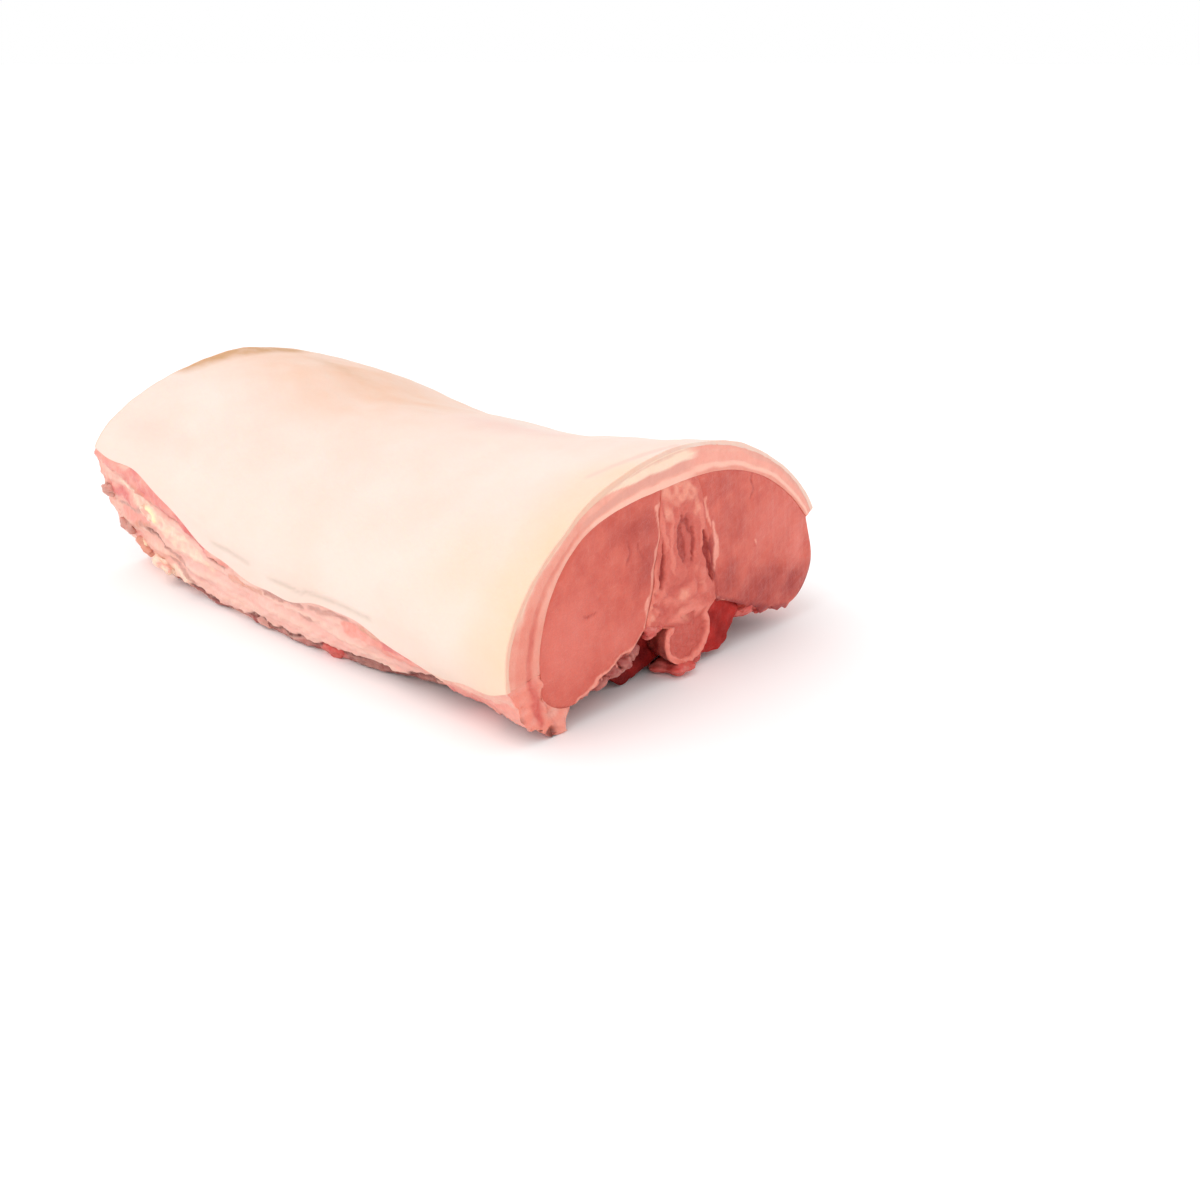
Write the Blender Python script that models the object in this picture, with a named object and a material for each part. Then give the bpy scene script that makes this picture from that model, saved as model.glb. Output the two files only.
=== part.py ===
"""Raw double pork loin: both loins on the bone, rind on, lying rind up, sawn across at both ends.

Metres, +Z up. +X runs along the back to the sawn loin end, -X is the rib end, -Y is the near flank and
+Y the far flank. The origin is on the surface that the meat rests on, under the middle of its box.

Every sub-part is a loft of closed outlines in the YZ plane, one at each station along the back. The
outlines at a station tile one cross-section, and each is drawn in by half the seam, so that
neighbours lie face to face and never overlap. Outlines are worked out from the line of the backbone.
"""

from functools import partial

import bmesh
import bpy
import numpy as np
from mathutils import Vector, noise

# Driving dimensions, in metres. A tuple gives a dimension at equal steps from the rib end to the loin end.
LENGTH = 0.365
SPINE_Y = 0.00653  # how far the backbone's line stands beyond the middle of the box
STATIONS = 29
BONE_STATIONS = 41
SEAM = 0.0007

# The rind's arch: a superellipse from the ridge out to the widest place, then a quarter oval to the foot.
NEAR, FAR = -1, 1
ARCH_POWER = {
    NEAR: (1.66, 1.70, 1.72, 1.72, 1.72, 1.78, 1.93),
    FAR: (1.66, 1.66, 1.66, 1.66, 1.66, 1.68, 1.74),
}
APEX_Y = (-0.0200, -0.0150, -0.0100, -0.0070, -0.0060, -0.0060, -0.0060)
RIDGE_HEIGHT = (0.1218, 0.1175, 0.1050, 0.1040, 0.1055, 0.1136, 0.1237)
WIDEST = {
    NEAR: (0.1290, 0.1300, 0.1290, 0.1285, 0.1270, 0.1270, 0.1310),
    FAR: (0.1160, 0.1180, 0.1170, 0.1160, 0.1136, 0.1112, 0.1120),
}
WIDEST_HEIGHT = {
    NEAR: (0.0740, 0.0650, 0.0520, 0.0460, 0.0420, 0.0400, 0.0410),
    FAR: (0.0500, 0.0480, 0.0460, 0.0440, 0.0430, 0.0430, 0.0430),
}
FOOT = {
    NEAR: (0.0910, 0.1115, 0.1160, 0.1170, 0.1100, 0.0890, 0.0960),
    FAR: (0.1000, 0.1060, 0.1080, 0.1060, 0.1020, 0.0960, 0.0940),
}
RIND_EDGE_HEIGHT = {
    NEAR: (0.0770, 0.0680, 0.0395, 0.0300, 0.0355, 0.0205, 0.0320),
    FAR: (0.0560, 0.0480, 0.0340, 0.0300, 0.0300, 0.0400, 0.0640),
}
# Rind and backfat together, at equal steps around the arch from the near edge to the far edge.
FAT_AT_RIB_END = (0.0180, 0.0155, 0.0125, 0.0115, 0.0135, 0.0165, 0.0140, 0.0115, 0.0125, 0.0155, 0.0180)
FAT_AT_LOIN_END = (0.0213, 0.0200, 0.0140, 0.0100, 0.0138, 0.0175, 0.0172, 0.0140, 0.0115, 0.0100, 0.0070)
EVENING_PASSES = 10

# The backbone: a column between the loins, its top placed from the apex, over the vertebral bodies.
COLUMN_TOP_FROM_APEX = {NEAR: -0.0195, FAR: 0.0070}
COLUMN_BASE_Y = {NEAR: -0.0360, FAR: 0.0200}
COLUMN_BASE_HEIGHT = 0.0350
COLUMN_FLARE = {NEAR: 2.2, FAR: 0.7}
BODY_CENTRE = (-0.0025, 0.0215)
BODY_RADII = (0.0180, 0.0160)
BODY_NOTCH_DEG = 32.0
VERTEBRA_PITCH = 0.0365
VERTEBRA_WAIST = 0.11

# The underside of each loin, from the flank in: its shoulder, its lowest place and its middle.
LOIN_UNDERSIDE_Y = {
    NEAR: ((0.103, 0.103, 0.103, 0.103, 0.102, 0.101, 0.107),
           (0.087, 0.088, 0.088, 0.088, 0.088, 0.086, 0.090),
           (0.060, 0.060, 0.060, 0.060, 0.060, 0.060, 0.057)),
    FAR: ((0.094, 0.096, 0.096, 0.095, 0.093, 0.094, 0.1065),
          (0.079, 0.080, 0.080, 0.080, 0.080, 0.078, 0.090),
          (0.055, 0.055, 0.055, 0.054, 0.053, 0.052, 0.056)),
}
LOIN_UNDERSIDE_Z = {
    NEAR: ((0.063, 0.046, 0.024, 0.021, 0.020, 0.016, 0.021),
           (0.052, 0.037, 0.017, 0.013, 0.012, 0.011, 0.012),
           (0.046, 0.038, 0.027, 0.024, 0.023, 0.021, 0.018)),
    FAR: ((0.044, 0.036, 0.023, 0.020, 0.020, 0.024, 0.032),
          (0.035, 0.028, 0.016, 0.013, 0.012, 0.012, 0.013),
          (0.038, 0.033, 0.026, 0.023, 0.021, 0.020, 0.020)),
}
UNDERSIDE_POINTS = 7
SPAN_POINTS = 12

# The flank strips below the rind's lower edge, with the far one trimmed short of the loin end.
LIP = 0.0025
FLANK_CLEAR = 0.0007
FLANK_STATIONS = {NEAR: STATIONS, FAR: 24}
INNER_FOOT = {
    NEAR: (0.076, 0.087, 0.093, 0.093, 0.088, 0.075, 0.087),
    FAR: (0.076, 0.083, 0.086, 0.084, 0.081, 0.078, 0.078),
}
INNER_WALL_LEAN = 0.40
INNER_WALL_BULGE = 0.12
INNER_WALL_RISE = 0.55
GROOVES = 3
GROOVE_DEPTH = 0.0028
GROOVE_WANDER = 0.12
GROOVE_WANDERS_PER_M = 28.0

# The tenderloins, in the corners between the loins' undersides and the vertebral bodies.
TENDERLOIN_TIP_X = -0.070
TENDERLOIN_END_X = {NEAR: 0.169, FAR: 0.180}
TENDERLOIN_STATIONS = 19
TENDERLOIN_TAPER = 0.120
TENDERLOIN_TIP_SIZE = 0.30
TENDERLOIN_REACH = 0.024
TENDERLOIN_WRAP_DEG = 62.0
TENDERLOIN_HANG = 0.0110

FLOOR_TOLERANCE = 1e-6
MITRE_LIMIT = 0.8


def along(x, values):
    """A dimension at x, from its values at equal steps, on a smooth Catmull-Rom curve."""
    values = np.array(values, float)
    place = np.clip(x / LENGTH + 0.5, 0.0, 1.0) * (len(values) - 1)
    step = min(int(place), len(values) - 2)
    padded = np.concatenate(([2 * values[0] - values[1]], values, [2 * values[-1] - values[-2]]))
    return catmull_rom(*padded[step:step + 4], place - step)


def catmull_rom(a, b, c, d, t):
    """The curve from b to c, where t is 0 at b and 1 at c, with a before b and d after c."""
    return 0.5 * (2 * b + (c - a) * t + (2 * a - 5 * b + 4 * c - d) * t ** 2 + (3 * b - a - 3 * c + d) * t ** 3)


def smooth_through(points):
    """A Catmull-Rom curve through a few points, with SPAN_POINTS steps from each to the next."""
    points = np.array(points, float)
    padded = np.vstack((2 * points[0] - points[1], points, 2 * points[-1] - points[-2]))
    t = np.linspace(0.0, 1.0, SPAN_POINTS, endpoint=False)[:, None]
    spans = [catmull_rom(*four, t) for four in zip(padded, padded[1:], padded[2:], padded[3:])]
    return np.vstack((*spans, points[-1:]))


def resample(curve, count):
    """The same curve with its points at equal steps of length."""
    run = np.concatenate(([0.0], np.cumsum(np.linalg.norm(np.diff(curve, axis=0), axis=1))))
    steps = np.linspace(0.0, run[-1], count)
    return np.column_stack([np.interp(steps, run, curve[:, axis]) for axis in (0, 1)])


def arch_half(x, side):
    """One half of the outer arch: from the apex over the widest place down to the foot."""
    apex_y = along(x, APEX_Y)
    wide = along(x, WIDEST[side])
    wide_z = along(x, WIDEST_HEIGHT[side])
    foot = along(x, FOOT[side])
    turn = np.linspace(0.0, np.pi / 2, 60)
    power = 2 / along(x, ARCH_POWER[side])
    upper = np.column_stack((apex_y + (side * wide - apex_y) * np.sin(turn) ** power,
                             wide_z + (along(x, RIDGE_HEIGHT) - wide_z) * np.cos(turn) ** power))
    lower = np.column_stack((side * (foot + (wide - foot) * np.cos(turn)), wide_z * (1 - np.sin(turn))))
    return np.vstack((upper, lower[1:]))


def split_arch(x, side):
    """The half arch above the rind's lower edge, and the flank's wall below it. Both hold the edge's point."""
    curve = arch_half(x, side)
    height = along(x, RIND_EDGE_HEIGHT[side])
    first_below = int(np.argmax(curve[:, 1] < height))
    above, below = curve[first_below - 1], curve[first_below]
    edge = above + (below - above) * (above[1] - height) / (above[1] - below[1])
    return np.vstack((curve[:first_below], edge)), np.vstack((edge, curve[first_below:]))


def rind_curve(x, count):
    """The rind from the near edge over the ridge to the far edge."""
    return resample(np.vstack((split_arch(x, NEAR)[0][::-1], split_arch(x, FAR)[0][1:])), count)


def fat_thickness(x, count):
    """Thickness of rind and backfat at equal steps around the arch: the two ends' values, blended at x."""
    to_loin_end = x / LENGTH + 0.5
    values = [(1 - to_loin_end) * a + to_loin_end * b for a, b in zip(FAT_AT_RIB_END, FAT_AT_LOIN_END)]
    return np.array([along(place, values) for place in np.linspace(-LENGTH / 2, LENGTH / 2, count)])


def inner_fat_curve(x, count=81):
    """Where the backfat meets the loins: the rind's curve moved in by the fat's thickness, and evened out."""
    rind = rind_curve(x, count)
    ahead = np.gradient(rind, axis=0)
    ahead /= np.linalg.norm(ahead, axis=1)[:, None]
    inward = np.column_stack((ahead[:, 1], -ahead[:, 0]))
    inner = rind + inward * fat_thickness(x, count)[:, None]
    for _ in range(EVENING_PASSES):
        inner[1:-1] = (inner[:-2] + 2 * inner[1:-1] + inner[2:]) / 4
    return inner


def cut_at_y(curve, y):
    """A curve that runs towards +Y, in two, at y. Both parts hold the point of the cut."""
    first = int(np.argmax(curve[:, 0] > y))
    before, after = curve[first - 1], curve[first]
    point = before + (after - before) * (y - before[0]) / (after[0] - before[0])
    return np.vstack((curve[:first], point)), np.vstack((point, curve[first:]))


def split_inner_fat(x):
    """The inner face of the fat over the near loin, over the backbone (0) and over the far loin."""
    apex_y = along(x, APEX_Y)
    near, rest = cut_at_y(inner_fat_curve(x), apex_y + COLUMN_TOP_FROM_APEX[NEAR])
    middle, far = cut_at_y(rest, apex_y + COLUMN_TOP_FROM_APEX[FAR])
    return {NEAR: near, 0: middle, FAR: far}


def column_side(x, side):
    """One side of the backbone's column, from the fat down to its flared base."""
    top = split_inner_fat(x)[0][0 if side == NEAR else -1]
    down = np.linspace(0.0, 1.0, 7)
    y = top[0] + (COLUMN_BASE_Y[side] - top[0]) * down ** COLUMN_FLARE[side]
    return np.column_stack((y, top[1] + (COLUMN_BASE_HEIGHT - top[1]) * down))


def loin_underside(x, side):
    """The underside of one loin, in two equal lots of points: to its lowest place, and on to the column."""
    end = split_inner_fat(x)[side][0 if side == NEAR else -1]
    named = [(side * along(x, y), along(x, z)) for y, z in zip(LOIN_UNDERSIDE_Y[side], LOIN_UNDERSIDE_Z[side])]
    curve = smooth_through([end, *named, (COLUMN_BASE_Y[side], COLUMN_BASE_HEIGHT)])
    lowest = 2 * SPAN_POINTS
    outer = resample(curve[:lowest + 1], UNDERSIDE_POINTS)
    return np.vstack((outer, resample(curve[lowest:], UNDERSIDE_POINTS)[1:]))


def body_arc(x, from_deg, to_deg, clear=0.0):
    """An arc around the vertebral body, which has a waist between discs, at this distance clear of it."""
    waist = VERTEBRA_WAIST * (0.5 - 0.5 * np.cos(2 * np.pi * x / VERTEBRA_PITCH))
    turn = np.radians(np.linspace(from_deg, to_deg, 25))
    radii = np.array(BODY_RADII) * (1 - waist) + clear
    return np.array(BODY_CENTRE) + np.column_stack((np.cos(turn), np.sin(turn))) * radii


def backbone_outline(x):
    """Column, flared base and vertebral body in one outline."""
    return np.vstack((
        resample(split_inner_fat(x)[0], 4),
        column_side(x, FAR)[1:],
        resample(body_arc(x, BODY_NOTCH_DEG, -180 - BODY_NOTCH_DEG), 12),
        column_side(x, NEAR)[:0:-1],
    ))


def loin_outline(x, side):
    """One loin: under the fat, down the column and back along its underside."""
    over = split_inner_fat(x)[side][::-side]
    return np.vstack((
        resample(over, 15),
        column_side(x, side)[1:],
        loin_underside(x, side)[-2:0:-1],
    ))


def backfat_outline(x):
    """Rind and backfat: the arch and its inner face."""
    return np.vstack((rind_curve(x, 33), resample(inner_fat_curve(x), 31)[::-1]))


def flank_wall(x, side):
    """The torn outer face of a flank strip, grooved lengthwise, from inside the rind's edge to the foot."""
    wall = resample(split_arch(x, side)[1], 12)
    to_meat = loin_underside(x, side)[0] - wall[0]
    down = np.linspace(0.0, 1.0, len(wall))
    wander = GROOVE_WANDER * noise.noise(Vector((x * GROOVE_WANDERS_PER_M, side, 0.0)))
    groove = 0.5 - 0.5 * np.cos(2 * np.pi * GROOVES * (down + wander))
    fade = np.clip(4 * (1 - down), 0, 1)
    wall[1:, 0] -= side * (LIP + GROOVE_DEPTH * groove[1:]) * fade[1:]
    wall[0] += to_meat / np.linalg.norm(to_meat) * LIP
    return wall


def flank_outline(x, side):
    """A flank strip: torn wall, flat foot, inner wall, and the loin's lower corner that it holds."""
    corner = loin_underside(x, side)[:UNDERSIDE_POINTS]
    wall = flank_wall(x, side)
    corner[0, 1] -= FLANK_CLEAR
    wall[0, 1] -= FLANK_CLEAR
    lowest = corner[-1]
    inner_foot = np.array((side * along(x, INNER_FOOT[side]), 0.0))
    bulge = inner_foot + (lowest - inner_foot) * (INNER_WALL_LEAN, INNER_WALL_RISE)
    bulge[0] += side * INNER_WALL_BULGE * lowest[1]
    inner_wall = smooth_through((inner_foot, bulge, lowest))
    return np.vstack((wall, resample(inner_wall, 5)[:-1], corner[::-1]))


def tenderloin_outline(x, side):
    """A tenderloin, tapering to the rib end: it fills the corner between loin and vertebral body."""
    fullness = np.sin(np.clip((x - TENDERLOIN_TIP_X) / TENDERLOIN_TAPER, 0.0, 1.0) * np.pi / 2)
    size = TENDERLOIN_TIP_SIZE + (1 - TENDERLOIN_TIP_SIZE) * fullness
    underside = resample(loin_underside(x, side)[UNDERSIDE_POINTS:], 61)
    reach = abs(COLUMN_BASE_Y[side]) + TENDERLOIN_REACH * size
    on_loin = underside[np.abs(underside[:, 0]) < reach]
    notch_deg = BODY_NOTCH_DEG if side == FAR else 180 - BODY_NOTCH_DEG
    wrap_deg = BODY_NOTCH_DEG + TENDERLOIN_WRAP_DEG * size
    on_body = body_arc(x, notch_deg, notch_deg - side * wrap_deg, SEAM)
    belly = (on_body[-1] + on_loin[0]) / 2 + np.array((side * 0.003, -TENDERLOIN_HANG)) * size
    free = smooth_through((on_body[-1], belly, on_loin[0]))
    return np.vstack((resample(on_loin, 5), resample(on_body, 5), resample(free, 7)[1:-1]))


def drawn_in(outline, distance):
    """The closed outline moved in by a distance, with mitred corners. Points on the floor stay on it."""
    ahead = np.roll(outline, -1, axis=0)
    if (outline[:, 0] * ahead[:, 1] - ahead[:, 0] * outline[:, 1]).sum() < 0:
        outline = outline[::-1]
    edges = (outline - np.roll(outline, 1, axis=0), np.roll(outline, -1, axis=0) - outline)
    normals = [np.column_stack((-e[:, 1], e[:, 0])) / np.linalg.norm(e, axis=1)[:, None] for e in edges]
    middle = normals[0] + normals[1]
    share = 2 / np.maximum((middle ** 2).sum(axis=1), MITRE_LIMIT)
    moved = outline + middle * share[:, None] * distance
    moved[outline[:, 1] < FLOOR_TOLERANCE, 1] = 0.0
    return moved


def loft(outline_at, stations):
    """A closed mesh through the outlines at these stations, with a face across each end."""
    mesh = bmesh.new()
    rings = []
    for x in stations:
        outline = drawn_in(outline_at(x), SEAM / 2)
        rings.append([mesh.verts.new((x, y, z)) for y, z in outline])
    for ring, next_ring in zip(rings, rings[1:]):
        for i in range(len(ring)):
            j = (i + 1) % len(ring)
            mesh.faces.new((ring[i], ring[j], next_ring[j], next_ring[i]))
    mesh.faces.new(rings[0][::-1])
    mesh.faces.new(rings[-1])
    bmesh.ops.recalc_face_normals(mesh, faces=mesh.faces)
    data = bpy.data.meshes.new("loft")
    mesh.to_mesh(data)
    mesh.free()
    data.shade_smooth()
    data.set_sharp_from_angle(angle=np.radians(40))
    return data


def flesh(name, colour, roughness):
    """A moist surface of one colour."""
    material = bpy.data.materials.new(name)
    material.use_nodes = True
    shader = material.node_tree.nodes["Principled BSDF"]
    shader.inputs["Base Color"].default_value = (*colour, 1.0)
    shader.inputs["Roughness"].default_value = roughness
    shader.inputs["Metallic"].default_value = 0.0
    return material


def add_piece(name, data, colour, roughness, collection):
    """One named sub-part in its own material, set from the backbone's line to the middle of the box."""
    piece = bpy.data.objects.new(name, data)
    piece.location.y = SPINE_Y
    data.materials.append(flesh(name, colour, roughness))
    collection.objects.link(piece)


def main():
    for obj in list(bpy.data.objects):
        bpy.data.objects.remove(obj)
    pieces = bpy.data.collections.new("pork_loin")
    bpy.context.scene.collection.children.link(pieces)

    whole = np.linspace(-LENGTH / 2, LENGTH / 2, STATIONS)
    bone = np.linspace(-LENGTH / 2, LENGTH / 2, BONE_STATIONS)
    add_piece("rind_and_backfat", loft(backfat_outline, whole), (0.93, 0.76, 0.62), 0.45, pieces)
    add_piece("backbone", loft(backbone_outline, bone), (0.72, 0.33, 0.25), 0.5, pieces)
    for side, word in ((NEAR, "near"), (FAR, "far")):
        loin = loft(partial(loin_outline, side=side), whole)
        add_piece(f"loin_{word}", loin, (0.62, 0.16, 0.13), 0.4, pieces)
        flank = loft(partial(flank_outline, side=side), whole[:FLANK_STATIONS[side]])
        add_piece(f"flank_{word}", flank, (0.80, 0.45, 0.36), 0.45, pieces)
        strip = np.linspace(TENDERLOIN_TIP_X, TENDERLOIN_END_X[side], TENDERLOIN_STATIONS)
        tenderloin = loft(partial(tenderloin_outline, side=side), strip)
        add_piece(f"tenderloin_{word}", tenderloin, (0.42, 0.07, 0.06), 0.4, pieces)


main()
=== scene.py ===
"""Raw double pork loin, dressed: rind, backfat, both loins, backbone, flank strips, tenderloins and scraps.

Metres, +Z up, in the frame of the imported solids. Sections are worked out from the backbone's line, in the YZ
plane at stations along the back, and are moved over by spine_y when a piece is made. Paint is laid out in
millimetres: (y, z) on a cut face, (x, z) on a flank and (x, y) on the top of the rind.
"""

import logging
from dataclasses import dataclass, field
from enum import Enum
from typing import Sequence, Union

import bmesh
import bpy
import numpy as np
from mathutils import Matrix, Vector


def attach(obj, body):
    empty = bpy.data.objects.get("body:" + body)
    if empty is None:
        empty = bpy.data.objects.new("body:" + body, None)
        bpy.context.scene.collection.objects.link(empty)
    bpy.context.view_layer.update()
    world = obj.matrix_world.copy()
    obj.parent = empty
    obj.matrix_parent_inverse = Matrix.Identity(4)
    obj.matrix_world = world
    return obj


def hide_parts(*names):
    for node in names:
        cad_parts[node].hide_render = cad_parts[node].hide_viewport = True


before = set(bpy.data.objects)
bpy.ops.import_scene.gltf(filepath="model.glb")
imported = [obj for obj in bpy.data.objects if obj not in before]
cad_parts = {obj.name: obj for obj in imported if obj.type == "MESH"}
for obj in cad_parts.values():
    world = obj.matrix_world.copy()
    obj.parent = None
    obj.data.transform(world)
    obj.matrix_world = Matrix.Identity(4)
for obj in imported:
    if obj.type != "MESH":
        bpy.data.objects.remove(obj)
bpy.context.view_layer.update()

logging.basicConfig(level=logging.INFO, format="%(message)s")
LOG = logging.getLogger("pork_loin")

Array = np.ndarray
Floats = Sequence[float]
Colour = tuple[float, float, float]
Stroke = Sequence[tuple[float, float, float]]
Strokes = Sequence[Stroke]
Dabs = Sequence[Floats]
Steps = Union[Floats, Array]
Socket = bpy.types.NodeSocket
MM = 0.001
WELD = 1e-6
SHARP_DEG = 50.0


class Side(Enum):
    """A side of the animal: its value is the sign of y on that side."""

    NEAR = -1
    FAR = 1

    @property
    def word(self) -> str:
        """The side's name in a piece's name."""
        return self.name.lower()


class End(Enum):
    """A sawn end: its value is its place from 0 to 1 along the back."""

    RIB = 0
    LOIN = 1


# ---------------------------------------------------------------- curves


def catmull_rom(a: Array, b: Array, c: Array, d: Array, t: Array) -> Array:
    """The smooth curve from b to c.

    Args:
        a, b, c, d: Four values or points in a row.
        t: 0 at b and 1 at c.

    Returns:
        Half of 2b + (c-a)t + (2a-5b+4c-d)t^2 + (3b-a-3c+d)t^3.
    """
    square, cube = 2 * a - 5 * b + 4 * c - d, 3 * b - a - 3 * c + d
    return 0.5 * (2 * b + (c - a) * t + square * t ** 2 + cube * t ** 3)


def through(points: Array, steps: int = 12) -> Array:
    """A smooth curve through the points of each row.

    Args:
        points: Rows of points, (rows, points, 2).
        steps: Steps from a point to the next.

    Returns:
        Rows of finer points, by Catmull-Rom from each point to the next.
    """
    before = 2 * points[:, :1] - points[:, 1:2]
    after = 2 * points[:, -1:] - points[:, -2:-1]
    padded = np.concatenate((before, points, after), axis=1)[:, :, None]
    t = np.linspace(0.0, 1.0, steps, endpoint=False)[None, None, :, None]
    fine = catmull_rom(padded[:, :-3], padded[:, 1:-2], padded[:, 2:-1], padded[:, 3:], t)
    return np.concatenate((fine.reshape(len(points), -1, 2), points[:, -1:]), axis=1)


def evened(curves: Array, count: int) -> Array:
    """The same curves with their points at equal steps of length.

    Args:
        curves: Rows of points.
        count: Points in each new row.

    Returns:
        Rows of points, read off the length run so far.
    """
    steps = np.linalg.norm(np.diff(curves, axis=1), axis=2)
    run = np.concatenate((np.zeros((len(curves), 1)), np.cumsum(steps, axis=1)), axis=1)
    share = np.linspace(0.0, 1.0, count)
    return np.stack([
        np.column_stack([np.interp(share * row[-1], row, curve[:, axis]) for axis in (0, 1)])
        for row, curve in zip(run, curves)
    ])


def at_places(curves: Array, places: Array) -> Array:
    """Points part of the way along each row.

    Args:
        curves: Rows of points.
        places: For each row, places counted in points, which may fall between two of them.

    Returns:
        Rows of points, on the straight line between their neighbours.
    """
    low = np.clip(places.astype(int), 0, curves.shape[1] - 2)
    part = (places - low)[..., None]
    rows = np.arange(len(curves))[:, None]
    return curves[rows, low] * (1 - part) + curves[rows, low + 1] * part


def inward(curves: Array) -> Array:
    """Unit normals to the right of each row's direction.

    Args:
        curves: Rows of points.

    Returns:
        (dz, -dy) over its length, at each point.
    """
    ahead = np.gradient(curves, axis=1)
    ahead /= np.linalg.norm(ahead, axis=2, keepdims=True)
    return np.stack((ahead[..., 1], -ahead[..., 0]), axis=-1)


# ---------------------------------------------------------------- relief and paint


def smooth_step(value: Array) -> Array:
    """0 below 0, 1 above 1, and 3v^2 - 2v^3 between."""
    value = np.clip(value, 0.0, 1.0)
    return value * value * (3 - 2 * value)


def lumps(points: Array, size: float, seed: int) -> Array:
    """Smooth lumps, mostly from -1 to 1.

    Args:
        points: Places, in metres.
        size: About how far apart the lumps lie.
        seed: Picks the waves.

    Returns:
        The sum of nine sine waves in random directions, over three.
    """
    rng = np.random.default_rng(seed)
    ways = rng.normal(size=(9, 3))
    ways *= 2 * np.pi / (np.linalg.norm(ways, axis=1) * size * rng.uniform(0.7, 1.5, 9))[:, None]
    return np.sin(points @ ways.T + rng.uniform(0, 2 * np.pi, 9)).sum(axis=1) / 3.0


def stroke(at: Array, path: Stroke, soft: float) -> Array:
    """A brush stroke with a width of its own at each point of its path.

    Args:
        at: Places in millimetres, (places, 2).
        path: Points (a, b, width) in millimetres.
        soft: How far the stroke fades beyond its width.

    Returns:
        1 within half the width of the path's straight runs, fading to 0 over soft.
    """
    amount = np.zeros(len(at))
    points = np.array(path, float)
    for start, stop in zip(points, points[1:]):
        way = stop - start
        share = np.clip((at - start[:2]) @ way[:2] / max(way[:2] @ way[:2], 1e-9), 0.0, 1.0)
        middle = start + way * share[:, None]
        gap = np.linalg.norm(at - middle[:, :2], axis=1) - middle[:, 2] / 2
        amount = np.maximum(amount, 1 - smooth_step(gap / soft))
    return amount


def dab(at: Array, spot: Floats, soft: float) -> Array:
    """An oval dab of paint.

    Args:
        at: Places in millimetres, (places, 2).
        spot: The oval's middle and its two radii.
        soft: The share of the radius over which it fades.

    Returns:
        1 inside the oval, fading to 0 at its radius.
    """
    reach = np.hypot((at[:, 0] - spot[0]) / spot[2], (at[:, 1] - spot[1]) / spot[3])
    return 1 - smooth_step((reach - 1 + soft) / soft)


def between(value: Array, low: float, high: float, soft: float) -> Array:
    """1 from low to high, fading to 0 over soft on both sides."""
    return smooth_step((value - low) / soft + 0.5) * smooth_step((high - value) / soft + 0.5)


def strokes(at: Array, paths: Strokes, soft: float) -> Array:
    """The strongest of several strokes at each place."""
    return np.maximum.reduce([stroke(at, path, soft) for path in paths])


def dabs(at: Array, spots: Dabs, soft: float) -> Array:
    """The strongest of several dabs at each place, each times the fifth number of its spot if it has one."""
    return np.maximum.reduce([(*spot, 1.0)[4] * dab(at, spot, soft) for spot in spots])


# ---------------------------------------------------------------- the section of the loin


def both(near: object, far: object) -> dict:
    """The two sides' values by side."""
    return {Side.NEAR: near, Side.FAR: far}


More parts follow.
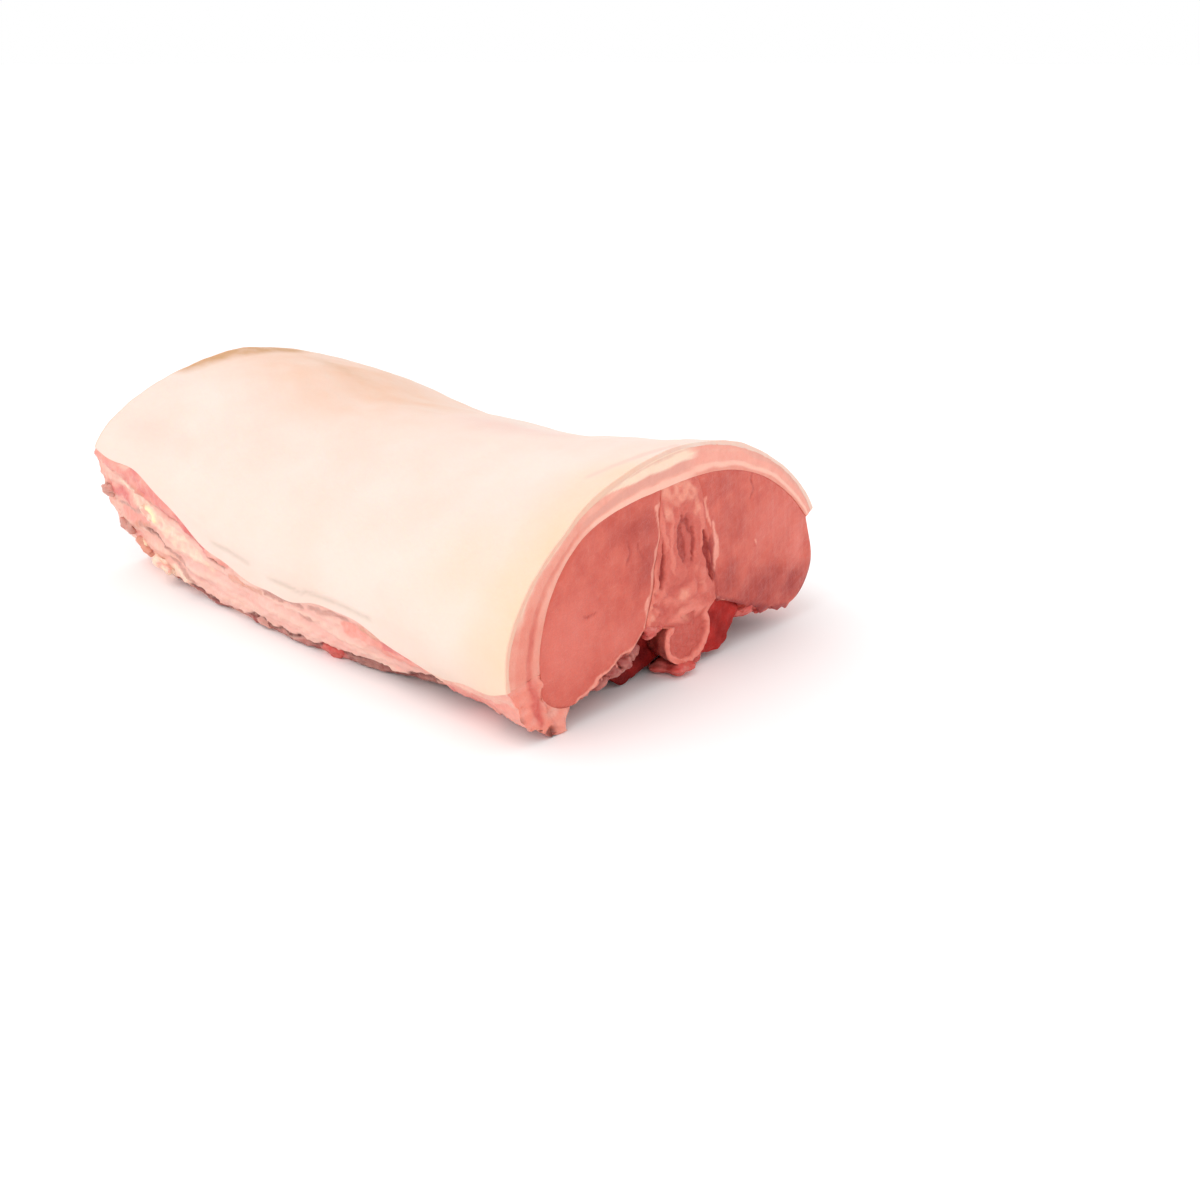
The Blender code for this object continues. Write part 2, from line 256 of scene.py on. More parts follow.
@dataclass
class LoinSection:
    """The cross-section of the loin at stations along the back.

    Tuples hold a dimension at equal steps from the rib end to the loin end, in metres.
    """

    length: float = 0.365
    spine_y: float = 0.00653
    arch_power: dict = field(default_factory=lambda: both(
        (1.66, 1.70, 1.72, 1.72, 1.72, 1.78, 1.93),
        (1.66, 1.66, 1.66, 1.66, 1.66, 1.68, 1.74)))
    apex_y: Floats = (-0.0200, -0.0150, -0.0100, -0.0070, -0.0060, -0.0060, -0.0060)
    ridge: Floats = (0.1218, 0.1175, 0.1050, 0.1040, 0.1055, 0.1136, 0.1237)
    widest: dict = field(default_factory=lambda: both(
        (0.1290, 0.1300, 0.1290, 0.1285, 0.1270, 0.1270, 0.1310),
        (0.1160, 0.1180, 0.1170, 0.1160, 0.1136, 0.1112, 0.1120)))
    widest_z: dict = field(default_factory=lambda: both(
        (0.0740, 0.0650, 0.0520, 0.0460, 0.0420, 0.0400, 0.0410),
        (0.0500, 0.0480, 0.0460, 0.0440, 0.0430, 0.0430, 0.0430)))
    foot: dict = field(default_factory=lambda: both(
        (0.0910, 0.1115, 0.1160, 0.1170, 0.1100, 0.0890, 0.0960),
        (0.1000, 0.1060, 0.1080, 0.1060, 0.1020, 0.0960, 0.0940)))
    rind_edge_z: dict = field(default_factory=lambda: both(
        (0.0770, 0.0680, 0.0395, 0.0300, 0.0355, 0.0205, 0.0320),
        (0.0560, 0.0480, 0.0340, 0.0300, 0.0300, 0.0400, 0.0640)))
    edge_wander: float = 0.0009
    seam_wander: float = 0.0011
    fat_at_rib_end: Floats = (
        0.0180, 0.0155, 0.0125, 0.0115, 0.0135, 0.0165, 0.0140, 0.0115, 0.0125, 0.0155, 0.0180)
    fat_at_loin_end: Floats = (
        0.0213, 0.0200, 0.0140, 0.0100, 0.0138, 0.0175, 0.0172, 0.0140, 0.0115, 0.0100, 0.0070)
    column_top: dict = field(default_factory=lambda: both(-0.0195, 0.0070))
    column_base_y: dict = field(default_factory=lambda: both(-0.0360, 0.0200))
    column_base_z: float = 0.0350
    column_flare: dict = field(default_factory=lambda: both(2.2, 0.7))
    body_centre: Floats = (-0.0025, 0.0215)
    body_radii: Floats = (0.0180, 0.0160)
    body_notch_deg: float = 32.0
    vertebra_pitch: float = 0.0365
    vertebra_waist: float = 0.11
    underside_y: dict = field(default_factory=lambda: both(
        ((0.103, 0.103, 0.103, 0.103, 0.102, 0.101, 0.107),
         (0.087, 0.088, 0.088, 0.088, 0.088, 0.086, 0.090),
         (0.060, 0.060, 0.060, 0.060, 0.060, 0.060, 0.057)),
        ((0.094, 0.096, 0.096, 0.095, 0.093, 0.094, 0.1065),
         (0.079, 0.080, 0.080, 0.080, 0.080, 0.078, 0.090),
         (0.055, 0.055, 0.055, 0.054, 0.053, 0.052, 0.056))))
    underside_z: dict = field(default_factory=lambda: both(
        ((0.063, 0.046, 0.024, 0.021, 0.020, 0.016, 0.021),
         (0.052, 0.037, 0.017, 0.013, 0.012, 0.011, 0.012),
         (0.046, 0.038, 0.027, 0.024, 0.023, 0.021, 0.018)),
        ((0.044, 0.036, 0.023, 0.020, 0.020, 0.024, 0.032),
         (0.035, 0.028, 0.016, 0.013, 0.012, 0.012, 0.013),
         (0.038, 0.033, 0.026, 0.023, 0.021, 0.020, 0.020))))
    inner_foot: dict = field(default_factory=lambda: both(
        (0.076, 0.087, 0.093, 0.093, 0.088, 0.075, 0.087),
        (0.076, 0.083, 0.086, 0.084, 0.081, 0.078, 0.078)))
    lip: float = 0.0025
    tenderloin_tip_x: float = -0.070
    tenderloin_taper: float = 0.120
    tenderloin_reach: float = 0.024
    tenderloin_wrap_deg: float = 62.0
    tenderloin_hang: float = 0.0110

    def stations(self, count: int, first: float = 0.0, last: float = 1.0, crowd: float = 0.5) -> Array:
        """Places along the back, closer together at both ends.

        Args:
            count: How many.
            first, last: Shares of the length where they begin and end.
            crowd: 0 for equal steps; up to 1 for steps that shrink to nothing at the ends.

        Returns:
            x in metres: t - crowd sin(2 pi t) / 2 pi, stretched over the length.
        """
        t = np.linspace(0.0, 1.0, count)
        t = first + (last - first) * (t - crowd * np.sin(2 * np.pi * t) / (2 * np.pi))
        return (t - 0.5) * self.length

    def along(self, x: Array, values: Floats) -> Array:
        """A dimension on a smooth curve through its values.

        Args:
            x: Stations.
            values: The dimension at equal steps from the rib end to the loin end.

        Returns:
            Its value at each x.
        """
        steps = np.asarray(values, float)
        place = np.clip(x / self.length + 0.5, 0.0, 1.0) * (len(steps) - 1)
        low = np.minimum(place.astype(int), len(steps) - 2)
        padded = np.concatenate(([2 * steps[0] - steps[1]], steps, [2 * steps[-1] - steps[-2]]))
        return catmull_rom(padded[low], padded[low + 1], padded[low + 2], padded[low + 3], place - low)

    def arch(self, x: Array, side: Side, turns: Array) -> Array:
        """Points of half the outer arch: a superellipse to the widest place and a quarter oval to the foot.

        Args:
            x: Stations.
            side: Which half.
            turns: For each station, places from 0 at the apex over 1 at the widest to 2 at the foot.

        Returns:
            Rows of (y, z).
        """
        apex, ridge = self.along(x, self.apex_y)[:, None], self.along(x, self.ridge)[:, None]
        wide, wide_z = (self.along(x, t[side])[:, None] for t in (self.widest, self.widest_z))
        foot = self.along(x, self.foot[side])[:, None]
        power = 2 / self.along(x, self.arch_power[side])[:, None]
        upper = np.clip(turns, 0, 1) * np.pi / 2
        lower = np.clip(turns - 1, 0, 1) * np.pi / 2
        y = apex + (side.value * wide - apex) * np.sin(upper) ** power
        z = wide_z + (ridge - wide_z) * np.cos(upper) ** power
        y_low = side.value * (foot + (wide - foot) * np.cos(lower))
        below = turns > 1
        z_low = wide_z * (1 - np.sin(lower))
        return np.stack((np.where(below, y_low, y), np.where(below, z_low, z)), axis=-1)

    def edge_turn(self, x: Array, side: Side) -> Array:
        """Where along the half arch the rind's lower edge lies, from the heights of arch and edge.

        Args:
            x: Stations.
            side: Which half.

        Returns:
            For each station, its place from 0 to 2 as in arch().
        """
        wander = lumps(np.column_stack((x, x * 0 + side.value, x * 0)), 0.030, 5) * self.edge_wander
        height = self.along(x, self.rind_edge_z[side]) + wander
        wide_z, ridge = self.along(x, self.widest_z[side]), self.along(x, self.ridge)
        power = self.along(x, self.arch_power[side]) / 2
        rise = np.clip((height - wide_z) / (ridge - wide_z), 0, 1) ** power
        fall = np.clip(1 - height / wide_z, 0, 1)
        return np.where(height > wide_z, np.arccos(rise) * 2 / np.pi, 1 + np.arcsin(fall) * 2 / np.pi)

    def rind(self, x: Array, count: int) -> Array:
        """The rind's outer face.

        Args:
            x: Stations.
            count: Points in each row.

        Returns:
            Rows of (y, z), from the near edge over the ridge to the far edge.
        """
        share = np.linspace(0.0, 1.0, 140)[None, :]
        near, far = (self.arch(x, side, self.edge_turn(x, side)[:, None] * share) for side in Side)
        return evened(np.concatenate((near[:, ::-1], far[:, 1:]), axis=1), count)

    def fat_depth(self, x: Array, count: int) -> Array:
        """Thickness of rind and backfat around the arch.

        Args:
            x: Stations.
            count: Places in each row, at equal steps of the arch's length.

        Returns:
            Rows of thicknesses: the two ends' values, blended along the back.
        """
        around = np.linspace(-self.length / 2, self.length / 2, count)
        rib, loin = self.along(around, self.fat_at_rib_end), self.along(around, self.fat_at_loin_end)
        to_loin = (x / self.length + 0.5)[:, None]
        return (1 - to_loin) * rib + to_loin * loin

    def inner_fat(self, x: Array, passes: int = 10) -> Array:
        """The backfat's inner face: the rind's face moved in by the fat's depth, and evened out.

        Args:
            x: Stations.
            passes: How often each point is averaged with its neighbours.

        Returns:
            Rows of (y, z), from the near edge to the far edge.
        """
        rind = self.rind(x, 81)
        inner = rind + inward(rind) * self.fat_depth(x, 81)[..., None]
        for _ in range(passes):
            inner[:, 1:-1] = (inner[:, :-2] + 2 * inner[:, 1:-1] + inner[:, 2:]) / 4
        return through(inner, 4)

    def under_fat(self, x: Array, part: Union[Side, None], count: int) -> Array:
        """The backfat's inner face over one part of the section.

        Args:
            x: Stations.
            part: The side's loin, or None for the backbone.
            count: Points in each row.

        Returns:
            Rows of (y, z), towards the far side.
        """
        inner = self.inner_fat(x)
        rows = np.arange(len(x))
        cuts = []
        for side in Side:
            y = self.along(x, self.apex_y) + self.column_top[side]
            first = np.argmax(inner[..., 0] > y[:, None], axis=1)
            before, after = inner[rows, first - 1, 0], inner[rows, first, 0]
            cuts.append(first - 1 + (y - before) / (after - before))
        start, stop = {Side.NEAR: (0 * cuts[0], cuts[0]), None: tuple(cuts),
                       Side.FAR: (cuts[1], 0 * cuts[1] + inner.shape[1] - 1)}[part]
        share = np.linspace(0.0, 1.0, 120)[None, :]
        return evened(at_places(inner, start[:, None] + (stop - start)[:, None] * share), count)

    def column(self, x: Array, side: Side, count: int) -> Array:
        """One side of the backbone's column, from the fat down to its flared base, with a wavering seam.

        Args:
            x: Stations.
            side: Which side of the column.
            count: Points in each row.

        Returns:
            Rows of (y, z): y goes from top to base as a power of the way down, plus the waver.
        """
        top = self.under_fat(x, None, 3)[:, 0 if side is Side.NEAR else -1][:, None]
        down = np.linspace(0.0, 1.0, count)[None, :]
        places = np.stack(np.broadcast_arrays(x[:, None], side.value * 1.0, 0.07 * down), axis=-1)
        waver = lumps(places.reshape(-1, 3), 0.014, 8).reshape(len(x), count)
        waver = self.seam_wander * waver * np.sin(np.pi * down)
        y = top[..., 0] + (self.column_base_y[side] - top[..., 0]) * down ** self.column_flare[side] + waver
        return np.stack((y, top[..., 1] + (self.column_base_z - top[..., 1]) * down), axis=-1)

    def underside(self, x: Array, side: Side, outer: bool, count: int) -> Array:
        """A part of a loin's underside.

        Args:
            x: Stations.
            side: Which loin.
            outer: From the fat to the lowest place; otherwise from there to the column.
            count: Points in each row.

        Returns:
            Rows of (y, z), inwards.
        """
        end = self.under_fat(x, side, 3)[:, 0 if side is Side.NEAR else -1]
        base = np.broadcast_to((self.column_base_y[side], self.column_base_z), end.shape)
        named = [np.column_stack((side.value * self.along(x, y), self.along(x, z)))
                 for y, z in zip(self.underside_y[side], self.underside_z[side])]
        curve = through(np.stack((end, *named, base), axis=1))
        return evened(curve[:, :25] if outer else curve[:, 24:], count)

    def body_arc(self, x: Array, from_deg: Steps, to_deg: Steps, count: int, clear: float = 0.0) -> Array:
        """An arc round the vertebral body, which has a waist between discs.

        Args:
            x: Stations.
            from_deg, to_deg: Where it begins and ends, one value or one for each station.
            count: Points in each row.
            clear: How far outside the body it runs.

        Returns:
            Rows of (y, z) on an oval.
        """
        waist = self.vertebra_waist * (0.5 - 0.5 * np.cos(2 * np.pi * x / self.vertebra_pitch))
        share = np.linspace(0.0, 1.0, count)[None, :]
        start, stop = (np.broadcast_to(deg, x.shape)[:, None] for deg in (from_deg, to_deg))
        turn = np.radians(start + (stop - start) * share)
        radii = np.array(self.body_radii) * (1 - waist)[:, None, None] + clear
        return np.array(self.body_centre) + np.stack((np.cos(turn), np.sin(turn)), axis=-1) * radii

    def flank_wall(self, x: Array, side: Side, count: int) -> Array:
        """The outer face of a flank strip.

        Args:
            x: Stations.
            side: Which one.
            count: Points in each row.

        Returns:
            Rows of (y, z), from the rind's lower edge down to the foot, set in by the lip between them.
        """
        share = np.linspace(0.0, 1.0, 80)[None, :]
        start = self.edge_turn(x, side)[:, None]
        wall = evened(self.arch(x, side, start + (2 - start) * share), count)
        down = np.linspace(0.0, 1.0, count)
        wall[..., 0] -= side.value * self.lip * np.clip(8 * down, 0.3, 1) * np.clip(4 * (1 - down), 0, 1)
        return wall


@dataclass
class FourEdges:
    """A section held by four edges, in rows: top and bottom run across, start and end join them."""

    top: Array
    bottom: Array
    start: Array
    end: Array

    def grid(self) -> Array:
        """All points of the sections, on a grid.

        Returns:
            (stations, across, down, 2) by Coons' rule: the blend of top and bottom, and that of start
            and end, less the blend of the four corners.
        """
        u = np.linspace(0.0, 1.0, self.top.shape[1])[None, :, None, None]
        v = np.linspace(0.0, 1.0, self.start.shape[1])[None, None, :, None]
        corners = [edge[:, i][:, None, None] for edge in (self.top, self.bottom) for i in (0, -1)]
        return ((1 - v) * self.top[:, :, None] + v * self.bottom[:, :, None]
                + (1 - u) * self.start[:, None] + u * self.end[:, None]
                - (1 - v) * ((1 - u) * corners[0] + u * corners[1])
                - v * ((1 - u) * corners[2] + u * corners[3]))

    def widths(self) -> tuple[Array, Array]:
        """How far bottom lies from top, and end from start, at each place."""
        pairs = (self.top, self.bottom), (self.start, self.end)
        return tuple(np.linalg.norm(one - other, axis=2) for one, other in pairs)


class Flesh:
    """A closed lump of flesh: the outside of a lattice through its sections, with relief and paint on it."""

    def __init__(self, x: Array, edges: FourEdges) -> None:
        """Works out the lattice's outside.

        Args:
            x: Stations.
            edges: The sections.
        """
        grid = edges.grid()
        counts = np.array(grid.shape[:3])
        index = np.indices(grid.shape[:3])
        last = (counts - 1)[:, None, None, None]
        outside = ((index == 0) | (index == last)).any(axis=0)
        along = np.broadcast_to(x[:, None, None], outside.shape)
        self.points: Array = np.column_stack((along[outside], grid[outside]))
        self.w, self.u, self.v = (axis[outside] / (count - 1) for axis, count in zip(index, counts))
        across, wide = edges.widths()
        u, v = index[1] / (counts[1] - 1), index[2] / (counts[2] - 1)
        rim = np.minimum(np.minimum(v, 1 - v) * across[:, :, None], np.minimum(u, 1 - u) * wide[:, None, :])
        self.rim: Array = rim[outside] / MM
        self.is_cap: Array = (self.w == 0) | (self.w == 1)
        self.is_wall: Array = (self.u == 0) | (self.u == 1) | (self.v == 0) | (self.v == 1)
        self.faces: Array = self._faces(outside)
        self.paint: dict[str, Array] = {}
        corners = self.points[self.faces]
        volume = np.einsum("ij,ij->i", corners[:, 0], np.cross(corners[:, 1], corners[:, 2])).sum()
        if volume < 0:
            self.faces = self.faces[:, ::-1]

    @staticmethod
    def _faces(outside: Array) -> Array:
        """The quads of the six sides.

        Args:
            outside: Which of the lattice's points are on its outside.

        Returns:
            Rows of four point numbers, counted among the outer points, all turned the same way.
        """
        ids = np.full(outside.shape, -1)
        ids[outside] = np.arange(outside.sum())
        sides = []
        for axis in range(3):
            turned = np.moveaxis(ids, (axis, (axis + 1) % 3, (axis + 2) % 3), (0, 1, 2))
            for level, back in ((turned[0], True), (turned[-1], False)):
                quad = np.stack((level[:-1, :-1], level[1:, :-1], level[1:, 1:], level[:-1, 1:]), axis=-1)
                sides.append(quad.reshape(-1, 4)[:, ::-1 if back else 1])
        return np.concatenate(sides)

    @property
    def face_at(self) -> Array:
        """Each point's (y, z) in millimetres, from the backbone's line."""
        return self.points[:, 1:] / MM

    @property
    def flank_at(self) -> Array:
        """Each point's (x, z) in millimetres."""
        return self.points[:, ::2] / MM

    def normals(self) -> Array:
        """Unit normals at the points.

        Returns:
            The sum of the cross products of the diagonals of each point's faces, over its length.
        """
        corners = self.points[self.faces]
        facing = np.cross(corners[:, 2] - corners[:, 0], corners[:, 3] - corners[:, 1])
        total = np.zeros_like(self.points)
        for corner in range(4):
            np.add.at(total, self.faces[:, corner], facing)
        return total / np.maximum(np.linalg.norm(total, axis=1), 1e-12)[:, None]

    def swell(self, wall: Union[Array, float], cap: Union[Array, float]) -> None:
        """Raises the surface.

        Args:
            wall: How far the walls move out, in millimetres, square to the back.
            cap: How far the sawn ends move out, in millimetres, along the back.
        """
        outward = self.normals()
        outward[:, 0] = 0.0
        length = np.linalg.norm(outward, axis=1)
        outward /= np.maximum(length, 1e-9)[:, None]
        self.points = self.points + outward * (np.where(self.is_wall, wall, 0.0) * MM)[:, None]
        self.points[:, 0] += np.where(self.is_cap, np.sign(self.w - 0.5) * cap, 0.0) * MM
        self.points[:, 2] = np.maximum(self.points[:, 2], 0.0)

    def at_end(self, end: End) -> Array:
        """1 on the points of one sawn end and 0 elsewhere."""
        return (self.w == end.value).astype(float)


# ---------------------------------------------------------------- finishes


def tone(red: int, green: int, blue: int) -> Colour:
    """A colour from 0 to 255 as the shader's light: ((c + 0.055) / 1.055) ^ 2.4, or c / 12.92 when dark."""
    parts = [c / 255 for c in (red, green, blue)]
    return tuple(c / 12.92 if c <= 0.04045 else ((c + 0.055) / 1.055) ** 2.4 for c in parts)


class Nodes:
    """A new material's node tree, and the few kinds of node that the finishes use."""

    def __init__(self, name: str) -> None:
        """Starts the material.

        Args:
            name: The material's name.
        """
        self.made: bpy.types.Material = bpy.data.materials.new(name)
        self.made.use_nodes = True
        self.tree: bpy.types.NodeTree = self.made.node_tree
        self.coords: Socket = self.tree.nodes.new("ShaderNodeTexCoord").outputs["Object"]

    def give(self, inputs: bpy.types.NodeInputs, values: dict) -> None:
        """Links or sets a node's inputs.

        Args:
            inputs: The node's inputs.
            values: By name or number, a socket to link or a value to set.
        """
        for key, value in values.items():
            if isinstance(value, bpy.types.NodeSocket):
                self.tree.links.new(value, inputs[key])
            else:
                inputs[key].default_value = value

    def shade(self, values: dict) -> None:
        """Links or sets the shader's inputs, as give() does."""
        self.give(self.tree.nodes["Principled BSDF"].inputs, values)

    def node(self, kind: str, values: dict, **settings: Union[str, bool]) -> bpy.types.Node:
        """Adds a node.

        Args:
            kind: Its type, without the words in front that all of them share.
            values: Its inputs, as in give().
            settings: Its own settings.

        Returns:
            The new node.
        """
        node = self.tree.nodes.new("ShaderNode" + kind)
        for name, setting in settings.items():
            setattr(node, name, setting)
        self.give(node.inputs, values)
        return node

    def noise(self, size: float, detail: float) -> Socket:
        """Noise with blotches of this size, from 0 to 1."""
        values = {"Vector": self.coords, "Scale": 1 / size, "Detail": detail}
        return self.node("TexNoise", values).outputs["Fac"]

    def math(self, operation: str, *values: Union[Socket, float], clamp: bool = False) -> Socket:
        """One sum on sockets and numbers, held from 0 to 1 if clamp is set."""
        return self.node("Math", dict(enumerate(values)), operation=operation, use_clamp=clamp).outputs[0]

    def stretched(self, value: Socket, low: float, high: float) -> Socket:
        """The value stretched so that low becomes 0 and high becomes 1."""
        return self.node("MapRange", {"Value": value, "From Min": low, "From Max": high}).outputs["Result"]

    def mix(self, amount: Socket, under: Union[Socket, Colour], over: Union[Socket, Colour]) -> Socket:
        """One colour over another.

        Args:
            amount: How much of the upper colour shows.
            under, over: A colour, or a socket that gives one.

        Returns:
            The mixed colour's socket.
        """
        under, over = ((*colour, 1.0) if isinstance(colour, tuple) else colour for colour in (under, over))
        return self.node("Mix", {0: amount, 6: under, 7: over}, data_type="RGBA").outputs[2]


@dataclass(frozen=True)
class Coat:
    """A colour laid over the others where its paint is, broken up by noise."""

    paint: str
    colour: Colour
    strength: float
    broken: float
    size: float


@dataclass(frozen=True)
class Finish:
    """A moist flesh: two colours mottled together, coats over them, fine grain, gloss and relief."""

    name: str
    light: Colour
    dark: Colour
    mottle: float
    grain: float
    grain_depth: float
    roughness: float
    bump: float
    bump_size: float
    subsurface: float
    roughness_spread: float = 0.14
    bundles: float = 0.0
    bundle_colour: Colour = (0.8, 0.4, 0.35)
    bundle_depth: float = 0.35
    bundle_squeeze: float = 0.12
    pores: float = 0.0
    specular: float = 0.5
    refraction: float = 1.38
    subsurface_depth: float = 0.004
    subsurface_colours: Colour = (1.0, 0.35, 0.2)
    coats: tuple[Coat, ...] = ()

    def material(self) -> bpy.types.Material:
        """Builds the node tree.

        Returns:
            A material on Object coordinates and the piece's own paint attributes.
        """
        nodes = Nodes(self.name)
        colour = nodes.mix(nodes.stretched(nodes.noise(self.mottle, 3.0), 0.32, 0.68), self.light, self.dark)
        for coat in self.coats:
            amount = nodes.node("Attribute", {}, attribute_name=coat.paint).outputs["Fac"]
            speckle = nodes.math("MULTIPLY_ADD", nodes.noise(coat.size, 4.0), 2 * coat.broken, -coat.broken)
            lifted = nodes.math("MULTIPLY", nodes.math("MULTIPLY", amount, speckle), 2.0)
            amount = nodes.math("MULTIPLY", nodes.math("ADD", amount, lifted), coat.strength, clamp=True)
            colour = nodes.mix(amount, colour, coat.colour)
        if self.bundles > 0:
            colour = self._with_bundles(nodes, colour)
        fine = nodes.noise(self.grain, 3.0)
        shade = nodes.math("MULTIPLY_ADD", fine, 2 * self.grain_depth, 1 - self.grain_depth)
        wet = nodes.noise(self.mottle * 0.5, 2.0)
        dullest, spread = self.roughness - self.roughness_spread, 2 * self.roughness_spread
        nodes.shade({
            "Base Color": nodes.node("VectorMath", {0: colour, "Scale": shade}, operation="SCALE").outputs[0],
            "Roughness": nodes.math("MULTIPLY_ADD", wet, spread, dullest),
            "Metallic": 0.0, "IOR": self.refraction, "Specular IOR Level": self.specular,
            "Subsurface Weight": self.subsurface, "Subsurface Scale": self.subsurface_depth,
            "Subsurface Radius": self.subsurface_colours, "Normal": self._relief(nodes)})
        return nodes.made

    def _with_bundles(self, nodes: Nodes, colour: Socket) -> Socket:
        """Thin pale seams between bundles of fibre that run along the back: the edges of long, narrow cells.

        Args:
            nodes: Where the nodes go.
            colour: The colour between the seams.

        Returns:
            The colour with the seams over it.
        """
        squeezed = nodes.node("Mapping", {"Vector": nodes.coords, "Scale": (self.bundle_squeeze, 1.0, 1.0)})
        cells = nodes.node("TexVoronoi", {"Vector": squeezed.outputs[0], "Scale": 1 / self.bundles},
                           feature="DISTANCE_TO_EDGE")
        seam = nodes.stretched(cells.outputs["Distance"], 0.10, 0.0)
        patchy = nodes.stretched(nodes.noise(self.mottle * 0.6, 2.0), 0.40, 0.70)
        amount = nodes.math("MULTIPLY", nodes.math("MULTIPLY", seam, patchy), self.bundle_depth, clamp=True)
        return nodes.mix(amount, colour, self.bundle_colour)

    def _relief(self, nodes: Nodes) -> Socket:
        """Fine relief from noise, with pits where the finish has pores.

        Args:
            nodes: Where the nodes go.

        Returns:
            The socket with the raised normals.
        """
        height = nodes.noise(self.bump_size, 5.0)
        if self.pores > 0:
            cells = nodes.node("TexVoronoi", {"Vector": nodes.coords, "Scale": 1 / self.pores})
            pit = nodes.stretched(cells.outputs["Distance"], 0.0, 0.22)
            height = nodes.math("MULTIPLY_ADD", pit, 0.5, height)
        return nodes.node("Bump", {"Strength": self.bump, "Distance": MM, "Height": height}).outputs["Normal"]


RIND_FINISH = Finish(
    "rind_finish", tone(236, 214, 202), tone(234, 208, 194), mottle=0.045, grain=0.0022, grain_depth=0.012,
    roughness=0.46, roughness_spread=0.08, bump=0.16, bump_size=0.0030, pores=0.0035, subsurface=0.10,
    coats=(
        Coat("peach", tone(232, 186, 158), 0.85, 0.35, 0.020),
        Coat("tan", tone(200, 150, 104), 0.95, 0.35, 0.010),
        Coat("yellow", tone(234, 200, 168), 0.90, 0.20, 0.020),
        Coat("rosy", tone(233, 186, 172), 0.80, 0.30, 0.018),
        # Grey painted shade in the creases above the near edge.
        Coat("crease", tone(200, 180, 164), 0.50, 0.30, 0.006),
        Coat("cut", tone(238, 184, 162), 0.85, 0.30, 0.004),
    ))

FAT_FINISH = Finish(
    "backfat_finish", tone(243, 174, 155), tone(236, 160, 142), mottle=0.006, grain=0.0012, grain_depth=0.04,
    roughness=0.40, bump=0.30, bump_size=0.0012, subsurface=0.15,
    coats=(
        Coat("salmon", tone(230, 138, 120), 0.90, 0.30, 0.005),
        Coat("cream", tone(248, 218, 194), 0.95, 0.10, 0.008),
        Coat("band", tone(243, 158, 141), 0.75, 0.30, 0.004),
        Coat("blush", tone(226, 158, 142), 0.90, 0.20, 0.006),
        Coat("inner", tone(252, 190, 170), 0.95, 0.12, 0.005),
        Coat("seam", tone(212, 106, 92), 0.90, 0.30, 0.004),
    ))

LEAN_FINISH = Finish(
    "loin_lean_finish", tone(215, 104, 87), tone(204, 89, 74), mottle=0.008, grain=0.0010, grain_depth=0.08,
    bundles=0.0050, bundle_colour=tone(230, 134, 118), bundle_depth=0.20,
    roughness=0.36, roughness_spread=0.12, bump=0.40, bump_size=0.0011, subsurface=0.15,
    coats=(
        Coat("pale", tone(226, 120, 105), 0.80, 0.25, 0.010),
        # Dark: darker lean in patches on the faces, and painted shade over the undersides.
        Coat("dark", tone(168, 55, 46), 0.90, 0.30, 0.007),
        Coat("vein", tone(170, 58, 50), 0.60, 0.50, 0.002),
        Coat("fat", tone(244, 164, 145), 0.75, 0.25, 0.003),
        Coat("membrane", tone(214, 132, 122), 0.85, 0.45, 0.006),
        # Bruise and shade: very dark red, partly bruising and partly painted shade on the undersides and lower
        # rims.
        Coat("bruise", tone(150, 40, 38), 0.90, 0.35, 0.005),
    ))

BONE_FINISH = Finish(
    "backbone_finish", tone(217, 107, 92), tone(205, 93, 79), mottle=0.005, grain=0.0009, grain_depth=0.08,
    roughness=0.40, bump=0.50, bump_size=0.0009, subsurface=0.12,
    coats=(
        Coat("red", tone(196, 84, 73), 0.85, 0.30, 0.003),
        Coat("pale", tone(230, 126, 109), 0.85, 0.30, 0.003),
        Coat("bright", tone(241, 154, 132), 0.85, 0.25, 0.003),
        Coat("marrow", tone(168, 58, 48), 0.95, 0.35, 0.002),
        Coat("slit", tone(154, 40, 30), 0.95, 0.20, 0.002),
        Coat("ring", tone(236, 134, 118), 0.95, 0.15, 0.003),
        # Blood: dark red on the walls beside the vertebral body, partly dark tissue and partly painted shade
        # in the hollows there.
        Coat("blood", tone(122, 26, 26), 0.90, 0.30, 0.004),
    ))

FLANK_FINISH = Finish(
    "flank_finish", tone(240, 184, 168), tone(233, 168, 152), mottle=0.009, grain=0.0012, grain_depth=0.05,
    roughness=0.38, roughness_spread=0.12, bump=0.45, bump_size=0.0016, subsurface=0.15,
    coats=(
        Coat("lilac", tone(238, 190, 178), 0.90, 0.30, 0.008),
        Coat("cream", tone(246, 214, 190), 0.90, 0.30, 0.005),
        Coat("salmon", tone(236, 156, 142), 0.90, 0.35, 0.005),
        Coat("red", tone(220, 124, 120), 0.90, 0.35, 0.005),
        Coat("sawn", tone(238, 140, 121), 0.95, 0.25, 0.004),
        Coat("yellow", tone(252, 238, 190), 0.90, 0.25, 0.004),
        Coat("orange", tone(214, 144, 120), 0.80, 0.40, 0.005),
        Coat("brown", tone(196, 140, 128), 0.80, 0.40, 0.004),
        # Deep: dark red for torn bits and the inner side, and painted shade in the band along the foot.
        Coat("deep", tone(158, 70, 66), 0.90, 0.35, 0.005),
        Coat("blood", tone(203, 70, 64), 0.95, 0.25, 0.004),
        # Dark: dark brown for lines between layers and notches, and painted shade along the foot and in the
        # partings.
        Coat("dark", tone(112, 54, 46), 0.85, 0.40, 0.003),
    ))

